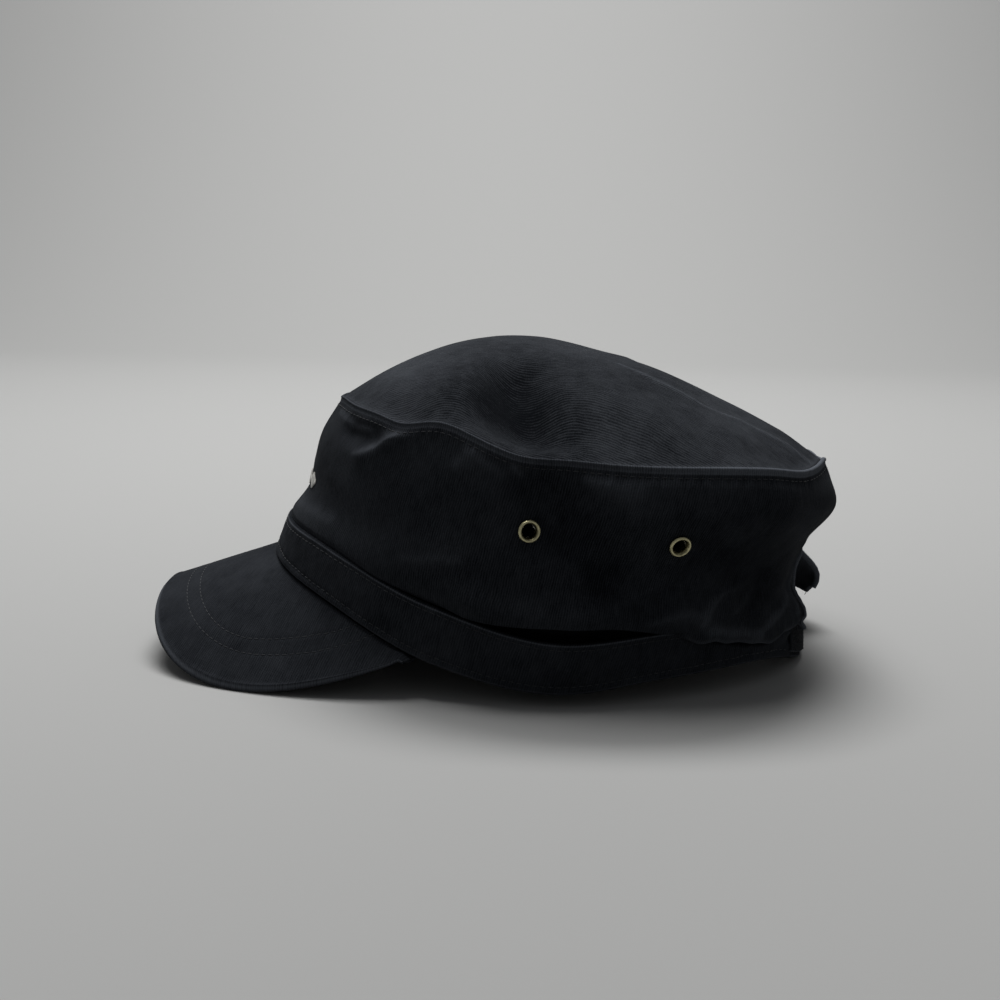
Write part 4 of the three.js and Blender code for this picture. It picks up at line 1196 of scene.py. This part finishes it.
dark_thread = thread_material("dark_thread", (0.012, 0.0135, 0.016))
grey_thread = thread_material("grey_thread", (0.017, 0.019, 0.022))
stitch_rows = []


def stitch_row(name, lines, seed, material=dark_thread, closed=False):
    """Row of stitches along each of some lines."""
    stitch_rows.append(grown(name, [(line, closed) for line in lines], STITCHES, Pitch=0.0027,
                             Length=0.0022, Thickness=0.00032, Seed=seed, Material=material))


# distances of the rows from the seam, the arch and the strap's ends, and above the cloth
SEAM_ROW, ARCH_ROW, STRAP_ROW_END, WALL_LIFT, LIFT = 1.5, 3.2, 4, 0.06, 0.1
round_turns = np.linspace(0, 360, 720, endpoint=False)
seam_rise = 1 - SEAM_ROW / (seam_height(round_turns) - foot_height(round_turns))
stitch_row("seam_stitches", [lifted(wall_point, round_turns, seam_rise, WALL_LIFT)], 3, closed=True)
inside = band_turns[4:-4]
for row_name, rise, seed in (
        ("band_top_stitches", 1 - BAND_ROW_TOP / band_tall(inside), 5),
        ("band_low_stitches", BAND_ROW_LOW / band_tall(inside), 7)):
    stitch_row(row_name, [lifted(band_face, inside, rise, LIFT, rise_step=0.03)], seed, grey_thread)
lines = []
for row in PEAK_ROWS:
    across = np.linspace(-1, 1, 400) * row[-1][0]
    along = row_along(row, across)
    lines.append(peak_face(across, along) + LIFT * peak_upwards(across, along))
stitch_row("peak_stitches", lines, 11, grey_thread)
row_turn, row_rise = arch_at(np.linspace(-0.12, np.pi + 0.12, 160), ARCH_ROW)
stitch_row("arch_stitches", [lifted(wall_point, row_turn, row_rise, WALL_LIFT)], 13)
row_start = back_turn_at(ARCH_HALF_WIDTH + STRAP_ROW_END)
turns = np.linspace(row_start, 360 - row_start, 120)
lines = [band_point(turns, row / band_tall(turns), STRAP_OUT - 0.08) for row in STRAP_ROWS]
stitch_row("strap_stitches", lines, 17)

# %% [markdown]
# ## Threads as tubes
#
# Another tree makes tubes: each line becomes a curve with a round section. It makes the loops
# of the loop tape, a few bare strands at the end of the strap, and the satin threads of a row
# of plain lozenges on the front. The real cap has a badge there, which is left off.

# %% A node tree for tubes
def tube_tree():
    tree, start, end = new_tree("thread_tubes", [
        ("Thickness", "NodeSocketFloat", 0.0003), ("Sides", "NodeSocketInt", 6),
        ("Material", "NodeSocketMaterial", None)])
    line = add(tree, "GeometryNodeMeshToCurve", [("Mesh", start.outputs["Geometry"])])
    half = add(tree, "ShaderNodeMath", [(0, start.outputs["Thickness"]), (1, 0.5)],
               operation="MULTIPLY")
    ring = add(tree, "GeometryNodeCurvePrimitiveCircle", [("Resolution", start.outputs["Sides"]),
                                                          ("Radius", half.outputs[0])])
    tubes = add(tree, "GeometryNodeCurveToMesh", [("Curve", line.outputs[0]),
                                                  ("Profile Curve", ring.outputs[0]),
                                                  ("Fill Caps", True)])
    return end_tree(tree, start, end, tubes.outputs[0])


TUBES = tube_tree()

# %% Loops of the loop tape
rng = np.random.default_rng(21)
LOOPS = 1100
turn = rng.uniform(patch_start + 0.4, patch_end - 0.4, LOOPS)
height = rng.uniform(patch_low + 0.5, patch_low + PATCH_WIDTH - 0.5, LOOPS)
base = band_point(turn, height / band_tall(turn), PATCH_OUT)
out = band_point(turn, height / band_tall(turn), PATCH_OUT + 1) - base
aside = rng.uniform(0, np.pi, LOOPS)
side = np.stack([np.cos(aside), np.zeros(LOOPS), np.sin(aside)], -1)
lean = rng.normal(0, 0.12, (LOOPS, 3))
size = rng.uniform(0.3, 0.55, LOOPS)[:, None]
bow = np.linspace(-0.6, np.pi + 0.6, 9)[:, None]
rise = np.sin(bow) * 0.62 + 0.2
lines = [(base[k] + size[k] * (0.55 * np.cos(bow) * side[k] + rise * (out[k] + lean[k])), False)
         for k in range(LOOPS)]
pile_thread = thread_material("pile_thread", (0.022, 0.024, 0.028))
pile = grown("loop_pile", lines, TUBES, Thickness=0.00014, Sides=4, Material=pile_thread)

# %% Bare strands by the strap
start = band_point(arch_turn[0] - 0.6, 0.93, 0.1)
strands = []
for lift, reach, curl, seed in ((1.8, 4.2, 0.9, 1), (-0.6, 3.4, -1.1, 2), (0.6, 2.6, 1.4, 3),
                                (-1.8, 4.4, 0.8, 4)):
    t = np.linspace(0, 1, 14)[:, None]
    away = np.array([[-0.12, 0.92, 0.0]]) * reach * t
    bow = np.array([[0.3, 0.1, 1.0]]) * (lift * t + curl * np.sin(t * 3.1) * t)
    strands.append((start + away + bow + [0, 0, -0.5 * seed], False))
loose = grown("bare_strands", strands, TUBES, Thickness=0.00028, Sides=6, Material=grey_thread)

# %% Embroidered row on the front
LOZENGES, ROW_TURN, ROW_RISE, ROW_TALL, THREADS = 5, 16.5, 0.335, 0.13, 26
ends = np.linspace(-1, 1, 9)
lines = []
for k in range(LOZENGES):
    middle_turn = ROW_TURN * (2 * (k + 0.5) / LOZENGES - 1)
    half_turn = ROW_TURN / LOZENGES * 0.92
    for t in np.linspace(-0.94, 0.94, THREADS):
        reach = (1 - abs(t)) * ROW_TALL / 2 + 0.004
        rise = ROW_RISE + ends * reach
        bow = 0.12 + 0.34 * np.sqrt(np.clip(1 - ends ** 2, 0, 1)) * (1.15 - abs(t))
        turn = np.full(9, middle_turn + t * half_turn)
        lines.append((wall_point(turn, rise)
                      + bow[:, None] * normals_of(plain_wall_point, turn, rise), False))
pale_thread = thread_material("pale_thread", (0.58, 0.57, 0.53), 0.75)
embroidery = grown("embroidered_row", lines, TUBES, Thickness=0.00048, Sides=6,
                   Material=pale_thread)

# %% Ride and replace
stands_for = {side_wall: "side_wall", top_panel: "top_panel", headband: "headband",
              peak: "peak", strap: "back_strap", patch: "loop_patch", binding: "arch_binding"}
stands_for.update({piece: name for name, piece in eyelets.items()})
for piece, name in stands_for.items():
    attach(piece, "root")
    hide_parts(name)
for piece in [facing, loose, embroidery] + stitch_rows:
    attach(piece, "root")
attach(pile, "root")
print(len(stands_for), "pieces stand for CAD nodes")

# %% [markdown]
# ## Twill
#
# Twill has fine slanting ribs. They are made from the UV map in metres: a wave for the ribs, a
# finer wave across them for the threads, and noise that breaks both up. The dye has washed out
# unevenly, which slow noise gives, and most on edges and folds, which the wear attribute gives.
# The same attribute also carries painted shade as darker dye and painted light as paler dye.


# %% Twill material
def math_node(tree, operation, a, b=None, clamp=False):
    links = [(0, a)] if b is None else [(0, a), (1, b)]
    return add(tree, "ShaderNodeMath", links, operation=operation, use_clamp=clamp).outputs[0]


def weighted(tree, *parts):
    """Sum of values, each times its weight."""
    total = None
    for value, weight in parts:
        part = math_node(tree, "MULTIPLY", value, weight)
        total = part if total is None else math_node(tree, "ADD", total, part)
    return total


def noise_node(tree, vector, scale, detail=3.0, roughness=0.55, stretch=None):
    if stretch is not None:
        vector = add(tree, "ShaderNodeMapping", [("Scale", stretch), ("Vector", vector)]).outputs[0]
    return add(tree, "ShaderNodeTexNoise", [("Scale", scale), ("Detail", detail),
                                            ("Roughness", roughness), ("Vector", vector)]).outputs[0]


def wear_and_light_value(tree):
    return add(tree, "ShaderNodeAttribute", attribute_name=WEAR_AND_PAINTED_LIGHT).outputs["Fac"]


def twill_material(name, dark, pale, rib_angle, rib_pitch=0.00085, wash=1.0, sheen=0.008):
    """Washed twill. dark and pale are the dye's deepest and most faded colours, rib_angle the
    slant of the ribs on the UV map."""
    material, tree, shader = new_material(
        name, Roughness=0.95, Specular_IOR_Level=0.03, Sheen_Weight=sheen, Sheen_Roughness=0.5,
        Sheen_Tint=(0.8, 0.86, 0.95, 1))
    uv = add(tree, "ShaderNodeUVMap", uv_map=CLOTH_UV).outputs[0]
    place = add(tree, "ShaderNodeTexCoord").outputs["Object"]
    turned = add(tree, "ShaderNodeMapping", [("Rotation", (0, 0, rib_angle)),
                                             ("Vector", uv)]).outputs[0]
    parts = add(tree, "ShaderNodeSeparateXYZ", [(0, turned)])
    # ribs, the threads across them, slubs along the threads and flecks
    wobble = math_node(tree, "MULTIPLY", noise_node(tree, turned, 170, 2), 0.0011)
    across = math_node(tree, "ADD", parts.outputs[0], wobble)
    rib, threads = (
        math_node(tree, "SINE", math_node(tree, "MULTIPLY", way, 2 * math.pi / pitch))
        for way, pitch in ((across, rib_pitch), (parts.outputs[1], rib_pitch * 0.6)))
    slub = noise_node(tree, turned, 1200, 2, 0.65, (1.0, 0.16, 1.0))
    fleck = noise_node(tree, turned, 1700, 2, 0.75)
    weave = weighted(tree, (rib, 0.26), (threads, 0.05), (slub, 0.95), (fleck, 1.15))
    # the dye: slow patches of two sizes, the weave, and the wear attribute, which holds wear on edges
    # and folds as well as painted shade and painted light
    mottle = noise_node(tree, place, 30, 4, 0.62)
    cloud = noise_node(tree, place, 150, 3, 0.6)
    worn = wear_and_light_value(tree)
    fade = weighted(tree, (mottle, 0.42 * wash), (cloud, 0.2 * wash), (weave, 0.36), (worn, 0.3))
    dye = ramp_node(tree, fade, (0.45, dark), (1.2, pale))
    bare = add(tree, "ShaderNodeMix", data_type="RGBA")
    bare.inputs[7].default_value = (*[3.2 * c for c in pale], 1)
    rubbed = math_node(tree, "MULTIPLY", worn, math_node(tree, "MULTIPLY", weave, 0.5))
    tree.links.new(math_node(tree, "MULTIPLY", rubbed, 0.9, clamp=True), bare.inputs[0])
    tree.links.new(dye, bare.inputs[6])
    tree.links.new(bare.outputs[2], shader.inputs["Base Color"])
    bump_into(tree, shader, weave, 0.00016, 0.8)
    return material


DYE_DARK = (0.0016, 0.0021, 0.0031)
DYE_PALE = (0.026, 0.0285, 0.033)
# The top's palest dye is paler than the wall's: partly stronger fading of the crown, partly painted
# sheen, which the top catches at a grazing view
TOP_PALE_AND_SHEEN = (0.0345, 0.0375, 0.043)
PEAK_PALE = (0.0225, 0.0245, 0.0285)
wall_twill = twill_material("wall_twill", DYE_DARK, DYE_PALE, 0.0)
top_twill = twill_material("top_twill", DYE_DARK, TOP_PALE_AND_SHEEN, math.radians(18))
peak_twill = twill_material("peak_twill", DYE_DARK, PEAK_PALE, math.radians(-58))
band_twill = twill_material("band_twill", DYE_DARK, DYE_PALE, math.radians(20))

# %% Brass and loop tape
def brass_material():
    """Antique brass: worn bright on its crown and brown where polish never reaches."""
    material, tree, shader = new_material("antique_brass", Metallic=1.0)
    place = add(tree, "ShaderNodeTexCoord").outputs["Object"]
    patina = noise_node(tree, place, 700, 4, 0.6)
    fine = noise_node(tree, place, 3800, 2, 0.5)
    mixed = weighted(tree, (patina, 0.75), (fine, 0.25))
    shine = math_node(tree, "ADD", mixed, math_node(tree, "MULTIPLY", wear_and_light_value(tree), 0.22))
    tint = ramp_node(tree, shine, (0.12, (0.035, 0.03, 0.012)), (0.72, (0.5, 0.46, 0.28)))
    tree.links.new(tint, shader.inputs["Base Color"])
    rough = math_node(tree, "SUBTRACT", 0.62, math_node(tree, "MULTIPLY", mixed, 0.5))
    tree.links.new(rough, shader.inputs["Roughness"])
    bump_into(tree, shader, fine, 0.00005, 0.3)
    return material


brass = brass_material()
tape = twill_material("loop_tape", (0.006, 0.007, 0.009), (0.05, 0.054, 0.06), 0.0, 0.0006, 0.6)
# near-black twill without sheen: painted shade for the slit's recess and for the facing inside the
# band
painted_shade_twill = twill_material("painted_shade_twill", (0.0004, 0.0005, 0.0007), (0.002, 0.0022, 0.0026), 0.0,
                            sheen=0.0)
dressed = {"side_wall": wall_twill, "top_panel": top_twill, "headband": band_twill,
           "peak": peak_twill, "back_strap": band_twill, "loop_patch": tape,
           "arch_binding": band_twill}
for piece, name in stands_for.items():
    piece.data.materials.clear()
    piece.data.materials.append(dressed.get(name, brass))
# the facing inside the band is given the near-black twill as painted shade
facing.data.materials.append(painted_shade_twill)
side_wall.data.materials.append(painted_shade_twill)
worn = np.zeros(len(side_wall.data.vertices), np.float32)
side_wall.data.attributes[WEAR_AND_PAINTED_LIGHT].data.foreach_get("value", worn)
# faces whose wear value is below this lie in the slit's painted shade and get the near-black twill
SLIT_SHADE_LIMIT = -0.85
in_slit = [int(worn[list(face.vertices)].mean() < SLIT_SHADE_LIMIT) for face in side_wall.data.polygons]
side_wall.data.polygons.foreach_set("material_index", in_slit)
for name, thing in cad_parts.items():
    thing.data.materials.clear()
    thing.data.materials.append(dressed.get(name, brass))
print("materials:", sorted(m.name for m in bpy.data.materials if m.users))

# %% [markdown]
# ## Floor and light
#
# A pale floor that curves into the background, one large soft light from above and ahead of the
# cap, a weak one further ahead of it, and one that lights the backdrop, as in a shop's photograph.

# %% Studio
def backdrop():
    """Paper that lies flat under the cap and curves up far behind it."""
    flat, bend, top, wide = 1.5, 1.2, 3.0, 5.0
    angles = np.linspace(0, np.pi / 2, 24)
    profile = [(3.5, 0.0), (0.0, 0.0)]
    profile += [(-flat - bend * math.sin(a), bend * (1 - math.cos(a))) for a in angles]
    profile += [(-flat - bend, top)]
    points = [(x, y, z) for x, z in profile for y in (-wide, wide)]
    faces = [(2 * k, 2 * k + 1, 2 * k + 3, 2 * k + 2) for k in range(len(profile) - 1)]
    mesh = bpy.data.meshes.new("backdrop")
    mesh.from_pydata(points, [], faces)
    mesh.shade_smooth()
    return link_object("backdrop", mesh)


floor = backdrop()
paper = new_material("paper", Base_Color=(0.228, 0.228, 0.224, 1), Roughness=0.9)[0]
floor.data.materials.append(paper)


def soft_light(name, place, target, size, watts):
    data = bpy.data.lights.new(name, "AREA")
    data.shape, data.size, data.energy = "DISK", size, watts
    light = link_object(name, data)
    light.location = place
    light.rotation_euler = (Vector(target) - Vector(place)).to_track_quat("-Z", "Y").to_euler()


soft_light("top_light", (-0.1, -0.15, 1.2), (0, 0, 0.05), 0.8, 13.5)
soft_light("front_light", (0.25, -1.2, 0.6), (0, -0.05, 0.06), 0.5, 0.2)
soft_light("backdrop_light", (-0.9, 0, 2.2), (-2.4, 0, 0.5), 1.5, 106)
world = bpy.data.worlds.new("studio")
bpy.context.scene.world = world
world.use_nodes = True
sky = world.node_tree.nodes["Background"]
sky.inputs["Color"].default_value = (0.95, 0.97, 1.0, 1)
sky.inputs["Strength"].default_value = 0.22
bpy.context.scene.view_settings.view_transform = "Standard"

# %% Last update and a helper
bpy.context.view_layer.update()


def plain(box):
    return [[float(v) for v in corner] for corner in box]
